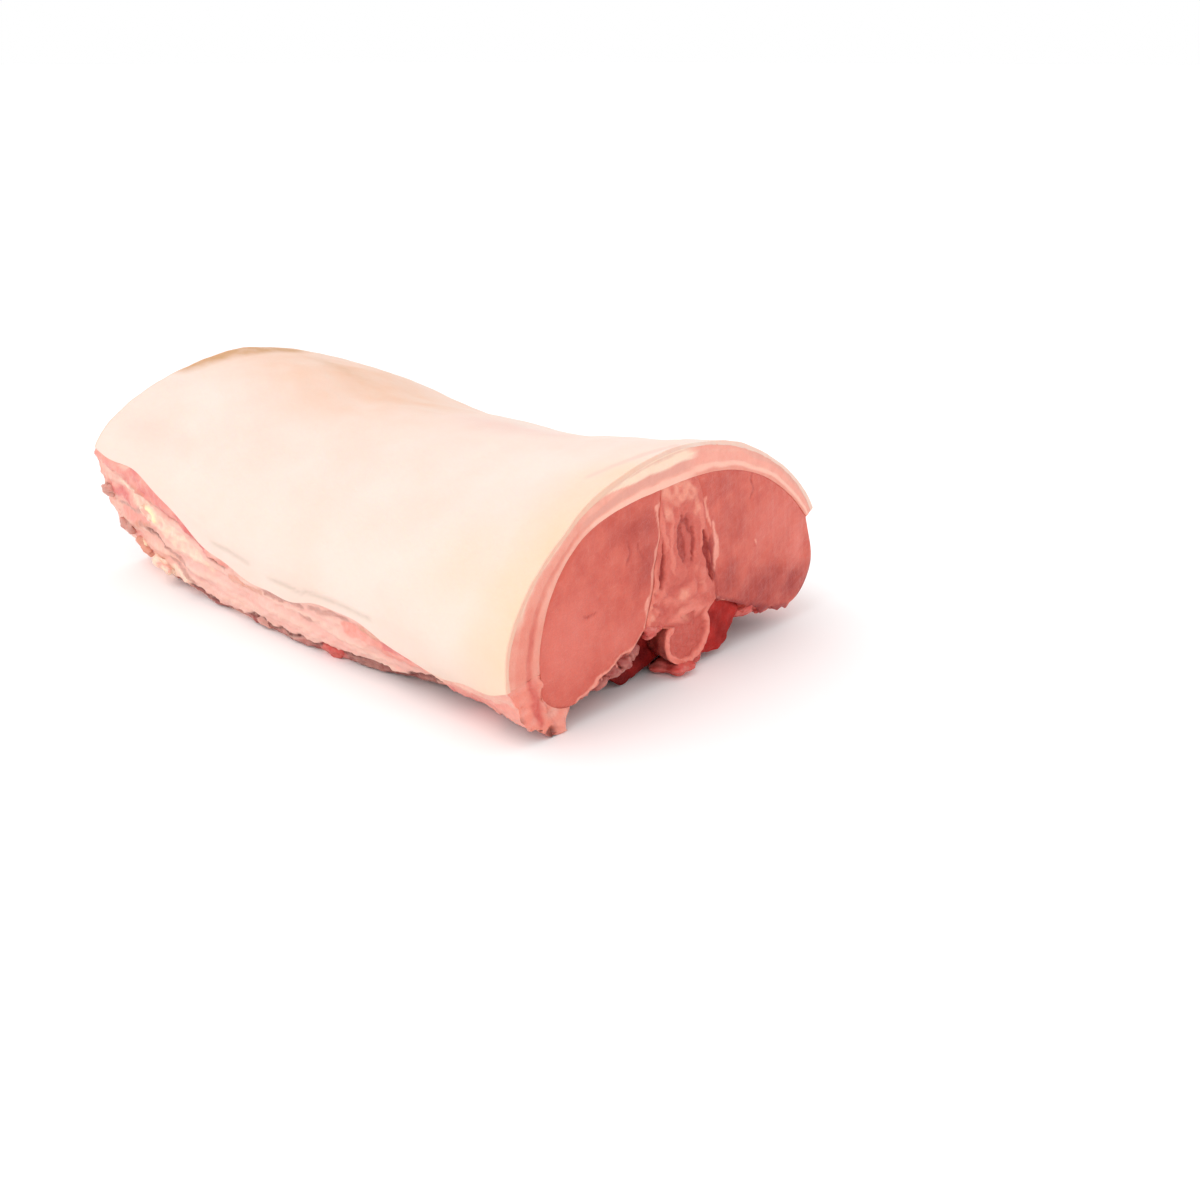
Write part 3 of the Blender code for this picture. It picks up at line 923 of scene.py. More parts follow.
TENDERLOIN_FINISH = Finish(
    "tenderloin_finish", tone(188, 46, 40), tone(160, 32, 28), mottle=0.008, grain=0.0010, grain_depth=0.10,
    bundles=0.0030, bundle_colour=tone(200, 66, 56), bundle_depth=0.25,
    roughness=0.50, roughness_spread=0.10, bump=0.45, bump_size=0.0012, subsurface=0.10, specular=0.15,
    coats=(
        Coat("fat", tone(226, 140, 124), 0.80, 0.45, 0.004),
        # Dark: near-black, painted shade for the hollow under the near loin.
        Coat("dark", tone(92, 10, 12), 0.95, 0.25, 0.006),
    ))


# ---------------------------------------------------------------- pieces


@dataclass
class Carcass:
    """What all pieces share: the section they are cut from, and how a finished lump becomes an object."""

    section: LoinSection = field(default_factory=LoinSection)

    def finish(self, name: str, flesh: Flesh, finish: Finish, slot: str, *nodes: str) -> bpy.types.Object:
        """Makes the object, paints it and hands it to the frame.

        Args:
            name: The piece's name.
            flesh: Its shape and paint.
            finish: Its material.
            slot: The record's material slot.
            nodes: The solids that it stands for.

        Returns:
            The new object.
        """
        points = flesh.points + (0.0, self.section.spine_y, 0.0)
        return self.add(name, points, flesh.faces, flesh.paint, finish, slot, *nodes)

    @staticmethod
    def add(name: str, points: Array, faces: Array, paint: dict[str, Array], finish: Finish, slot: str,
            *nodes: str) -> bpy.types.Object:
        """Puts points, faces and paint into a mesh, closes its poles, and lets it ride on the body.

        Args:
            name: The piece's name.
            points: Places in metres.
            faces: Quads of point numbers.
            paint: Amounts at the points, by name.
            finish: Its material.
            slot: The record's material slot; not used.
            nodes: The solids that it stands for.

        Returns:
            The new object.
        """
        data = bpy.data.meshes.new(name)
        data.from_pydata(points.tolist(), [], faces.tolist())
        for coat in finish.coats:
            amounts = paint.get(coat.paint, np.zeros(len(points)))
            layer = data.attributes.new(coat.paint, "FLOAT", "POINT")
            layer.data.foreach_set("value", np.clip(amounts, 0, 1).astype(np.float32))
        welded = bmesh.new()
        welded.from_mesh(data)
        bmesh.ops.remove_doubles(welded, verts=welded.verts, dist=WELD)
        welded.to_mesh(data)
        welded.free()
        data.shade_smooth()
        data.set_sharp_from_angle(angle=np.radians(SHARP_DEG))
        data.materials.append(bpy.data.materials.get(finish.name) or finish.material())
        piece = bpy.data.objects.new(name, data)
        bpy.context.scene.collection.objects.link(piece)
        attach(piece, "root")
        if nodes:
            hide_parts(*nodes)
        LOG.info("%s: %d faces, %s", name, len(data.polygons), finish.name)
        return piece


@dataclass
class Covering(Carcass):
    """The rind and the backfat under it.

    Each of the creases is a stroke (x, z, width) in millimetres, followed by how far it fades; the creases are
    sunk into the skin and painted grey as their shade. The tan edge and the rosy line are strokes (x, y,
    width) seen from above.
    """

    rind_depth: float = 0.0022
    around: int = 200
    stations: int = 150
    rolled_edge: float = 1.6
    roll_length: float = 0.009
    creases: tuple = (((-58, 46, 0.0), (-42, 45.5, 0.6), (-22, 42.5, 0.0), 2.2),
                      ((-5, 38, 0.0), (8, 38, 0.5), (24, 37.5, 0.0), 2.0),
                      ((26, 39.5, 0.0), (50, 40, 0.6), (80, 38.5, 0.0), 2.2))
    tan_edge: Stroke = ((-184, -40, 0), (-182, -14, 8), (-179, 8, 12), (-172, 30, 4))
    rosy_line: Stroke = ((160, -52, 0), (168, -34, 1.5), (179, -12, 2.5))

    def build(self) -> None:
        """Makes the rind and the backfat."""
        x = self.section.stations(self.stations)
        outer = self.section.rind(x, self.around)
        under = outer + inward(outer) * self.rind_depth
        inner = evened(self.section.inner_fat(x), self.around)
        self._rind(x, outer, under)
        self._backfat(x, under, inner)

    @staticmethod
    def _low(u: Array) -> Array:
        """1 around the near lower side of the arch, where the fat is salmon."""
        return between(u, -1, 0.29, 0.10)

    @staticmethod
    def _top(u: Array) -> Array:
        """1 from the near shoulder to the ridge, where the cut rolls over into the rind."""
        return between(u, 0.29, 0.565, 0.05)

    def _deep(self, flesh: Flesh) -> Array:
        """Thickness of rind and fat at each point."""
        place = np.rint(flesh.u * (self.around - 1)).astype(int)
        return self.section.fat_depth(flesh.points[:, 0], self.around)[np.arange(len(place)), place]

    def _roll(self, flesh: Flesh, share: Array) -> None:
        """Bends the sawn face back towards the rind.

        Args:
            flesh: The lump to bend.
            share: Each point's share of the thickness, 0 at the skin.
        """
        near_end = smooth_step((flesh.points[:, 0] - self.section.length / 2) / self.roll_length + 1)
        most = self.rolled_edge * MM * near_end * self._top(flesh.u)
        flesh.points[:, 0] -= most * smooth_step(1 - share / 0.5)

    @staticmethod
    def _ladder(top: Array, bottom: Array, count: int) -> FourEdges:
        """Sections between two curves, with straight ends.

        Args:
            top, bottom: Rows of points.
            count: Points in each end.

        Returns:
            The four edges.
        """
        v = np.linspace(0.0, 1.0, count)[None, :, None]
        ends = (top[:, at] * (1 - v) + bottom[:, at] * v for at in (slice(0, 1), slice(-1, None)))
        return FourEdges(top, bottom, *ends)

    def _rind(self, x: Array, outer: Array, under: Array) -> None:
        """The skin: shallow swellings, three long creases above the near edge with grey shade painted into
        them, and its worn colours.

        Args:
            x: Stations.
            outer, under: Its two faces, in rows from the near edge to the far edge.
        """
        skin = Flesh(x, self._ladder(outer, under, 4))
        at, flank, face = skin.points, skin.flank_at, skin.face_at
        near = (at[:, 1] < -0.05).astype(float) * (skin.v == 0)
        creases = near * np.maximum.reduce([stroke(flank, path, soft) for *path, soft in self.creases])
        free = smooth_step(np.minimum(skin.u, 1 - skin.u) / 0.03)
        swelling = 0.55 * lumps(at, 0.060, 11) + 0.16 * lumps(at, 0.018, 12) + 0.05 * lumps(at, 0.006, 13)
        wall = np.where(skin.v == 0, swelling * free - 0.7 * creases, 0.2)
        top = np.column_stack((at[:, 0], at[:, 1] - self.section.apex_y[0])) / MM
        shoulder = at[:, :2] / MM
        near_cut = smooth_step((flank[:, 0] - 125) / 60) * smooth_step((-15 - face[:, 0]) / 40)
        cut_end = (0.5 * between(skin.u, 0.60, 2, 0.06) + 0.95 * self._low(skin.u) + 0.7 * self._top(skin.u)
                   + 0.6 * skin.at_end(End.RIB))
        skin.paint = {
            "peach": np.maximum(
                0.75 * smooth_step((45 - flank[:, 0]) / 150) * smooth_step((face[:, 0] + 75) / 60),
                dab(top, (-85, 35, 110, 60), 0.8)),
            "tan": np.maximum(stroke(top, self.tan_edge, 14.0), 0.3 * dab(top, (-120, 30, 45, 14), 0.9)),
            "yellow": np.maximum(0.85 * near_cut, 0.35 * dab(shoulder, (140, -105, 60, 34), 0.9)),
            "rosy": np.maximum.reduce([
                0.6 * dab(shoulder, (40, 10, 70, 30), 0.9),
                0.35 * dab(shoulder, (-140, -112, 60, 16), 1.0),
                0.7 * stroke(shoulder, self.rosy_line, 4.0)]),
            # Grey painted shade where the creases sink into the skin.
            "crease": creases,
            "cut": np.where(skin.is_cap, cut_end, 0.9 * (skin.v == 1)),
        }
        skin.swell(wall, 0.0)
        self._roll(skin, skin.v * self.rind_depth / self._deep(skin))
        self.finish("rind", skin, RIND_FINISH, "rind_and_backfat", "rind_and_backfat")

    def _backfat(self, x: Array, under: Array, inner: Array) -> None:
        """The fat: layers parallel to the rind, with a darker seam and a light line next to the lean.

        Args:
            x: Stations.
            under, inner: Its two faces, in rows from the near edge to the far edge.
        """
        fat = Flesh(x, self._ladder(under, inner, 20))
        at = fat.points
        depth = (self.rind_depth + fat.v * (self._deep(fat) - self.rind_depth)) / self._deep(fat)
        share = depth + 0.03 * lumps(at, 0.030, 21) + 0.02 * lumps(at, 0.009, 22)
        loin, rib, low, top = fat.at_end(End.LOIN), fat.at_end(End.RIB), self._low(fat.u), self._top(fat.u)
        crown, far = between(fat.u, 0.57, 0.74, 0.03), between(fat.u, 0.74, 2, 0.05)
        foot = 1 - smooth_step((fat.u - 0.08) / 0.08)
        cream_to = 0.12 + 0.34 * smooth_step((fat.u - 0.33) / 0.12)
        seam = between(share, 0.60, 0.76, 0.08)
        line = between(share, 0.78, 1.1, 0.06) * top + between(share, 0.70, 0.86, 0.07) * (crown + far)
        fat.paint = {
            "salmon": fat.is_cap * (low * (0.55 + 0.35 * foot) * between(share, 0.30, 0.80, 0.12)
                                    + 0.6 * low * foot + 0.7 * between(share, 0.90, 1.2, 0.06) * (crown + far)
                                    + 0.6 * rib * between(share, -1, 0.5, 0.2))
            + 0.5 * (fat.is_wall & ~fat.is_cap),
            "cream": loin * (top * smooth_step((cream_to - share) / 0.06 + 0.5)
                             + 0.9 * between(fat.u, 0.545, 0.585, 0.03) * between(share, 0.05, 0.46, 0.06)
                             + 0.9 * low * (1 - foot) * between(share, -1, 0.20, 0.10)
                             + 0.45 * (top + crown) * between(share, 0.84, 0.92, 0.06) * (1 - crown)),
            "band": loin * (0.6 * crown * between(share, 0.34, 0.67, 0.08)
                            + 0.7 * crown * between(share, 0.06, 0.26, 0.08)
                            + 0.6 * far * between(share, 0.38, 0.62, 0.08)),
            "blush": loin * (top * (between(share, 0.44, 0.72, 0.10) + 0.6 * between(share, 0.13, 0.19, 0.05))
                             + 0.6 * far * between(share, -1, 0.40, 0.12)
                             + 0.5 * crown * between(share, -1, 0.14, 0.06)),
            "inner": fat.is_cap * (
                loin * (line + 0.2 * between(fat.u, 0.2, 0.29, 0.08) * low * between(share, 0.86, 1.2, 0.07))
                + rib * between(share, 0.78, 1.1, 0.07)),
            "seam": fat.is_cap * (loin * low * seam * (0.35 + 0.65 * foot) + 0.3 * rib * seam)
            * (0.85 + 0.3 * lumps(at, 0.010, 23)),
        }
        cap = 0.10 * lumps(at, 0.009, 24) * smooth_step(fat.v / 0.2) - 0.3 * seam * loin * low + 0.15 * line
        fat.swell(0.0, cap)
        self._roll(fat, depth)
        self.finish("backfat", fat, FAT_FINISH, "rind_and_backfat", "rind_and_backfat")


@dataclass
class Loins(Carcass):
    """The two long back muscles.

    Strokes (y, z, width) and spots (y, z, two radii, strength) are in millimetres on the sawn faces, and the
    near hem is a line (y, z) under which the torn membrane hangs.
    """

    across: int = 116
    down: int = 92
    stations: int = 100
    bite: float = 0.35
    apron: float = 3.0
    apron_from_to: dict = field(default_factory=lambda: both((44, 64), (44, 92)))
    near_hem: tuple = (
        (-92, 0), (-83, 11.5), (-76, 16.5), (-69, 20.5), (-60, 23.5), (-51, 26.5), (-40, 30), (-34, 36))
    near_dark: Dabs = ((-42, 90, 30, 14, 0.7), (-36, 70, 16, 24, 0.65))
    near_pale: Dabs = ((-90, 45, 34, 38, 0.9), (-60, 38, 40, 14, 0.6))
    near_veins: Strokes = (
        ((-50, 84, 0.1), (-48, 79, 0.3), (-49, 74, 0.1)), ((-43, 83, 0.1), (-42, 78, 0.3), (-41, 72, 0.1)),
        ((-80, 56, 0.2), (-76, 55, 0.8), (-72, 55, 0.2)))
    near_fat: Strokes = (
        ((-84, 11, 1.0), (-76, 17, 1.2), (-69, 21, 1.4), (-60, 24, 1.2), (-51, 27, 1.4), (-40, 31, 1.4),
         (-34, 37, 1.8)),
        ((-27.5, 100, 1.2), (-27.0, 80, 1.0), (-31, 62, 1.6), (-33.5, 50, 2.2), (-36, 42, 1.8),
         (-37, 37, 0.8)))
    far_dark: Dabs = (
        (22, 97, 26, 12, 0.4), (32, 74, 20, 22, 0.35), (52, 24, 46, 18, 1.0), (30, 42, 18, 18, 0.8),
        (88, 24, 22, 18, 1.0), (62, 32, 34, 16, 0.9))
    far_pale: Dabs = ((70, 66, 30, 22, 0.6), (90, 50, 12, 24, 0.9))
    far_veins: Strokes = (
        ((47, 97, 0.2), (48, 90, 0.8), (48, 84, 0.2)),
        ((14, 73, 0.8), (14.5, 64, 2.6), (16, 54, 2.2), (17, 46, 1.4)))
    far_fat: Strokes = (
        ((54, 60, 1.0), (54.6, 58.8, 1.0)),
        ((15.5, 78, 0.8), (17.6, 68, 2.6), (18.4, 60, 2.6), (18.6, 52, 1.0)),
        ((9, 92, 0.4), (11, 84, 1.6), (13, 78, 0.6)), ((20, 35, 1.6), (26, 32, 1.2), (32, 30, 0.6)))

    def build(self) -> None:
        """Makes both loins."""
        for side in Side:
            self._loin(side)

    def _loin(self, side: Side) -> None:
        """One muscle: domed and grained at its sawn faces, with a torn membrane underneath that is painted
        dark as shade.

        Args:
            side: Which one.
        """
        section, x, far = self.section, self.section.stations(self.stations), side is Side.FAR
        turn = 1 if far else -1
        loin = Flesh(x, FourEdges(
            top=section.under_fat(x, side, self.across)[:, ::turn],
            bottom=section.underside(x, side, False, self.across)[:, ::-1],
            start=section.column(x, side, self.down),
            end=section.underside(x, side, True, self.down)))
        at, face = loin.points, loin.face_at
        dark, pale, veins, fat = (getattr(self, f"{side.word}_{name}")
                                  for name in ("dark", "pale", "veins", "fat"))
        bent = face + np.column_stack((lumps(at, 0.010, 31), lumps(at, 0.012, 32))) * 1.2
        caps = loin.is_cap.astype(float)
        under, bare = (((way == 1) & ~loin.is_cap).astype(float) for way in (loin.v, loin.u))
        to_loin = smooth_step((at[:, 0] / MM - 120) / 50)
        clean_and_lit = 1 - to_loin if far else 1.0
        drawn = lumps(at * (0.25, 1, 1), 0.009, 45)
        below = under + loin.is_cap * (loin.v > 0.5) * (1 - smooth_step(loin.rim / 3.5))
        ragged = 0.5 + 0.5 * lumps(at, 0.012, 33)
        # Ragged patches for the bruising and painted shade below; more on the far side, and most towards its
        # loin end.
        stain_and_shade = smooth_step(ragged * 1.6 + (side.value - 1) * 0.15 + 0.4 * (1 - clean_and_lit))
        hem = -9.0 if far else np.interp(bent[:, 0], *zip(*self.near_hem))
        trim = loin.at_end(End.LOIN) * smooth_step((hem - bent[:, 1] - 0.6) / 1.2)
        loin.paint = {
            # Dark: darker patches on the faces, and painted shade over the undersides, heaviest on the far one
            # towards its loin end.
            "dark": caps * dabs(bent, dark, 0.9) + under * (1 - 0.5 * clean_and_lit),
            "pale": caps * dabs(bent, pale, 0.9),
            "vein": caps * strokes(bent, veins, 1.1),
            "fat": caps * strokes(bent, fat, 0.9)
            + np.maximum(under * clean_and_lit, 0.9 * trim) * smooth_step((lumps(at, 0.006, 35) - 0.40) / 0.25)
            + 0.8 * bare * smooth_step((drawn - 0.75) / 0.3),
            "membrane": np.maximum.reduce([under * clean_and_lit * (1 - 0.5 * ragged), trim,
                                           0.8 * bare * smooth_step((drawn + 0.1) / 0.6)]),
            # Bruise and shade: ragged dark red over the undersides and the faces' lower rims, partly bruising
            # and partly painted shade, full on the far side and 0.35 as strong on the near; and dark spots
            # among the near trim's rags.
            "bruise": np.maximum(below * (1.0 if far else 0.35) * stain_and_shade,
                                 0.9 * trim * smooth_step((lumps(at, 0.005, 41) - 0.2) / 0.4)),
        }
        dome = 0.45 * smooth_step(loin.rim / 2.5) - self.bite
        grain = 0.10 * lumps(at, 0.0045, 36) + 0.22 * lumps(at, 0.013, 37) + 0.35 * lumps(at, 0.040, 38)
        hung = self.apron * to_loin * between(np.abs(face[:, 0]), *self.apron_from_to[side], 10)
        tatters = 0.9 * lumps(at, 0.011, 39) + 0.5 * lumps(at, 0.005, 40) - 0.4
        torn = (under * hung * (0.8 + 0.5 * lumps(at, 0.009, 44)) + under * (0.9 + 0.8 * to_loin) * tatters
                + bare * (0.5 * drawn - 0.2))
        hidden = np.where((loin.v == 0) | (loin.u == 0), self.bite, 0.0)
        cap = (dome + grain * smooth_step(loin.rim / 2.0) - 0.2 * loin.paint["vein"]
               - trim * (1.7 + 1.2 * lumps(at, 0.006, 42) + 0.7 * lumps(at, 0.003, 43)))
        loin.swell(np.where(under + bare > 0, torn, hidden), cap)
        self.finish(f"loin_muscle_{side.word}", loin, LEAN_FINISH, "loin_lean", f"loin_{side.word}")


@dataclass
class Backbone(Carcass):
    """The sawn column of spinous processes over the vertebral bodies.

    Strokes (y, z, width) and spots (y, z, two radii) are in millimetres on the sawn faces.
    """

    column_steps: int = 62
    body_steps: int = 44
    across: int = 44
    stations: int = 190
    low_deg: float = 40.0
    slits: Strokes = (
        ((-24, 77, 0.2), (-23, 68, 2.0), (-24, 60, 2.0), (-25, 53, 0.6)),
        ((8.5, 75, 1.0), (11, 65, 4.6), (13, 55, 2.0)), ((14, 55, 1.6), (17, 46, 2.0)))
    marrow: Strokes = (
        ((-10, 87, 1.0), (-11, 80, 2.5), (-9.5, 72, 4.5), (-7, 63, 1.5)),
        ((-1, 80, 0.4), (0, 70, 2.2), (-1, 62, 0.4)), ((-10, 86, 1.6), (-5, 83, 2.0), (-3, 78, 1.2)))
    pale_lines: Strokes = (
        ((-31, 60, 1.2), (-32, 50, 2.4), (-34, 41, 3.2), (-33, 37, 2.4)),
        ((-26, 95, 1.6), (-23.5, 82, 2.2), (-20, 74, 0.8)),
        ((-29, 72, 0.8), (-30, 62, 2.6), (-27, 53, 2.6)), ((5, 91, 2.4), (7, 79, 2.8), (6, 68, 1.0)),
        ((-17, 90, 1.4), (-17, 74, 1.6), (-15, 58, 1.6)))
    transverse: Strokes = (((-34, 50, 1.4), (-14, 43.5, 2.2), (7, 37, 1.4)),)
    knobs: Dabs = (
        (-29, 56, 4.0, 3.6), (-33, 51, 3.0, 3.0), (-24, 50, 3.6, 3.2), (8, 52, 4.0, 3.8),
        (10, 44, 4.4, 4.0), (-2, 46, 7.0, 5.0), (-28, 42, 4.0, 3.0), (3, 57, 3.0, 3.0))
    bright: Dabs = (
        (-33, 45, 2.6, 2.4), (-32, 39, 3.4, 2.2), (-14, 101, 15, 9), (-22, 104, 8, 7), (-4, 97, 8, 5),
        (-20, 92, 4, 7), (2, 90, 3.4, 7), (-7, 45, 6.0, 3.6), (-7, 34.5, 7.5, 4.5), (19.5, 30, 1.6, 4.0),
        (-30, 54, 2.4, 1.8), (9, 48, 2.6, 1.6))
    red: Strokes = (
        ((-24, 46, 2.0), (-14, 50, 3.0), (-4, 52, 2.0)), ((-5, 84, 6), (-4, 72, 9), (-3, 62, 5)),
        ((-20, 40, 2.4), (-30, 46, 1.2)), ((5, 27, 6), (8, 17, 6)))

    def build(self) -> None:
        """Makes the backbone: column, then round the body, with the sawn face's slits, marrow and ring."""
        section, x = self.section, self.section.stations(self.stations, crowd=0.25)
        notch, low = section.body_notch_deg, self.low_deg
        near, far = (
            np.concatenate((section.column(x, side, self.column_steps),
                            section.body_arc(x, start, stop, self.body_steps)), axis=1)
            for side, start, stop in ((Side.NEAR, 180 - notch, 270 - low), (Side.FAR, notch, -90 + low)))
        bone = Flesh(x, FourEdges(near, far, section.under_fat(x, None, self.across),
                                  section.body_arc(x, 270 - low, 270 + low, self.across)))
        at, face = bone.points, bone.face_at
        shift = np.where(at[:, 0] < 0, section.apex_y[0] - section.apex_y[-1], 0.0) / MM
        shift = shift * smooth_step((face[:, 1] - 30) / 60)
        face = face - np.column_stack((shift, 0 * shift))
        bent = face + np.column_stack((lumps(at, 0.006, 51), lumps(at, 0.006, 52))) * 0.7
        middle, radii = np.array(section.body_centre) / MM, np.array(section.body_radii) / MM
        reach = np.hypot(*((bent - middle) / radii).T)
        inside = 1 - smooth_step((reach - 0.76) / 0.08)
        crest = smooth_step((bent[:, 1] - 30) / 8)
        crested = np.where(reach > 1.0, 1 - smooth_step((reach - 1.0) / 0.06) * crest, 1.0)
        ring = between(reach, 0.80, 1.2, 0.06) * crested * (1 - 0.3 * crest)
        slit, marrow = strokes(bent, self.slits, 0.9), strokes(bent, self.marrow, 1.2)
        lines, bars = strokes(bent, self.pale_lines, 1.0), strokes(bent, self.transverse, 1.5)
        red = strokes(bent, self.red, 1.2)
        knob, bright = dabs(bent, self.knobs, 0.5), dabs(bent, self.bright, 0.6)
        caps, walls = bone.is_cap.astype(float), (~bone.is_cap).astype(float)
        disc = 0.5 + 0.5 * np.cos(2 * np.pi * at[:, 0] / section.vertebra_pitch)
        between_discs = np.where(at[:, 0] > 0.16, 1, 1 - 0.45 * disc ** 4)
        bone.paint = {
            "red": caps * np.maximum(0.8 * red, 0.7 * inside),
            "pale": caps * np.maximum(lines, 0.8 * np.maximum(bars, knob)) + 0.5 * walls * disc ** 4,
            "ring": caps * ring, "marrow": caps * marrow * (1 - ring), "slit": caps * slit,
            "bright": caps * bright * (1 - slit) * (0.8 + 0.4 * lumps(at, 0.005, 57)),
            # The walls are painted dark red, a little lighter at the discs away from the loin end: partly dark
            # tissue, partly painted shade in the hollows beside the body.
            "blood": walls * (0.85 + 0.30 * lumps(at, 0.015, 53)) * between_discs,
        }
        cap = (0.15 - 1.4 * slit - 0.6 * marrow + 0.2 * lines + 0.4 * bars + 0.6 * knob + 0.2 * bright
               - 0.4 * red + 0.7 * ring - 0.8 * inside + 0.22 * lumps(at, 0.005, 54)
               + 0.10 * lumps(at, 0.002, 56))
        wall = np.where(bone.u == 1, 1, walls) * 0.35 * lumps(at, 0.007, 55)
        bone.swell(wall, cap * smooth_step(bone.rim / 1.5 + 0.25) - 0.15)
        self.finish("backbone_sawn", bone, BONE_FINISH, "bone", "backbone")


@dataclass
class Flanks(Carcass):
    """The torn strips of flank below the rind's lower edge.

    Strokes (x, z, width) are in millimetres on the outer wall, and the hem is a line (x, z), below which the
    wall is painted darker as shade where it turns under. Those named end are on the sawn face, (y, z), and a
    notch ends with the share over which it fades.
    """

    height_steps: int = 72
    depth_steps: int = 22
    stations: int = 230
    far_last: float = 0.8214
    tuck: float = 0.0045
    tuck_height: float = 0.012
    tuck_from: float = 0.160
    tuck_run: float = 0.020
    end_knob: Floats = (-93, 6, 9, 8)
    end_corner: Floats = (-101, 14, 8, 6)
    end_notches: Dabs = ((-103, 2.5, 5, 4.5, 0.6), (-124, 15, 5.5, 4, 0.6), (-112, 5, 3, 2.5, 0.7))
    end_blood: Stroke = (
        (-118, 39, 0.8), (-115.5, 32, 1.4), (-113.5, 27, 1.8), (-112.5, 22, 4), (-111, 16, 2.5),
        (-109, 10, 0.6))
    muscle: Stroke = (
        (-184, 74, 3), (-172, 72, 4), (-152, 69, 7), (-134, 66, 12), (-118, 60.5, 12), (-100, 55, 10),
        (-90, 50, 9), (-80, 45.5, 8), (-70, 40, 7), (-58, 34.5, 3), (-50, 31.5, 0.5))
    parting: Stroke = (
        (-169, 69, 0.5), (-152, 64.5, 0.8), (-138, 59, 0.8), (-118, 54, 0.8), (-102, 49.5, 0.8),
        (-94, 45.5, 0.8), (-82, 41, 0.8), (-70, 36, 0.8), (-56, 31, 0.5))
    hem: tuple = (
        (-184, 0), (-140, 0), (-126, 5), (-105, 7), (-86, 5), (-60, 3.5), (-46, 3.5), (-29, 5), (-16, 4.5),
        (1, 3.5), (22, 4.5), (41, 5), (66, 5.2), (85, 6.2), (105, 10.5), (114, 9), (130, 6), (150, 3),
        (184, 2))
    cream: Strokes = (
        ((-160, 61, 2), (-150, 58, 5), (-133, 52, 8), (-113, 42, 10), (-99, 36, 10), (-84, 31, 7),
         (-68, 26, 3)), ((-146, 17, 6), (-134, 11, 8), (-120, 12, 7), (-104, 11, 4)))
    yellow: Strokes = (((-129, 49.5, 4.0), (-120, 45.5, 4.5)), ((-158, 23, 1.5), (-152, 21, 2.5)))
    salmon: Strokes = (
        ((-170, 54, 6), (-157, 50, 7), (-146, 48, 3)), ((-163, 39, 9), (-146, 39, 9), (-132, 42, 4)),
        ((-165, 26, 8), (-150, 19, 8), (-141, 13, 5)),
        ((56, 26, 6), (80, 24, 9), (100, 21, 8), (112, 19, 5)), ((116, 14, 6), (150, 12, 12), (184, 10, 18)))
    red: Strokes = (
        ((-94, 50.5, 4), (-84, 46.5, 6.5), (-74, 42, 6.5), (-67, 38.5, 3)),
        ((94, 26, 3), (104, 25, 5), (111, 23, 4)), ((26, 3, 7), (36, 4.5, 8)),
        ((-168, 54, 3), (-159, 50, 4)), ((128, 10, 5), (150, 3, 6), (182, 2, 5)),
        ((-155, 22, 2), (-146, 16, 3)))
    orange: Strokes = (
        ((-161, 31, 2.0), (-145, 35, 3.0), (-128, 39.5, 1.4)), ((-46, 27, 4.0), (-24, 28, 3.0)),
        ((-140, 62, 2), (-132, 59, 3)), ((66, 29.5, 4.4), (88, 29.5, 4.4)))
    brown: Strokes = (
        ((-16, 28, 2.6), (2, 28.5, 3.4), (22, 29.5, 1.6)), ((30, 29.5, 2.0), (54, 31, 2.8)),
        ((-178, 54, 3.4), (-172, 53, 3)), ((-172, 31, 3.6), (-163, 30, 3)),
        ((-167, 45, 1.0), (-150, 45.5, 2.2), (-134, 48.5, 1.6), (-126, 47, 0.8)),
        ((18, 23, 1.2), (26, 22.5, 1.4)),
        ((-142, 36, 2.0), (-125, 33, 4.0), (-111, 26, 3.4), (-100, 19, 1.6)),
        ((-118, 20, 2.2), (-104, 13, 3.0), (-96, 9, 2.0)), ((-36, 1, 4.0), (-24, 2, 5.0), (-18, 2, 3.0)))
    # Dark strokes: those low on the wall, up to z = 12 mm, are painted shade along the foot where the wall
    # turns under; the last two follow lines between the layers.
    dark: Strokes = (
        ((-126, 6, 0.2), (-112, 6, 0.6), (-104, 6, 0.2)),
        ((-106, 7, 0.8), (-96, 6.5, 2.4), (-84, 5, 3.0), (-68, 4, 1.2)),
        ((-48, 4, 0.4), (-38, 5, 1.4), (-28, 5.5, 2.0), (-17, 5.5, 0.4)),
        ((-17, 5, 0.2), (22, 5, 0.4), (38, 7, 1.0)),
        ((38, 6, 1.2), (66, 6.2, 1.8), (85, 7, 1.8), (98, 9, 2.2), (108, 12, 2.0)),
        ((108, 12, 1.6), (118, 9.5, 1.6), (128, 7, 0.6)), ((158, 5, 0.6), (170, 5.5, 2.0), (184, 6.5, 2.2)),
        ((-134, 35, 0.2), (-124, 32.5, 1.2), (-113, 27, 0.6)),
        ((-70, 36, 0.2), (-60, 32.5, 0.5), (-54, 30, 0.2)))

    def build(self) -> None:
        """Makes both strips."""
        for side in Side:
            self._strip(side)

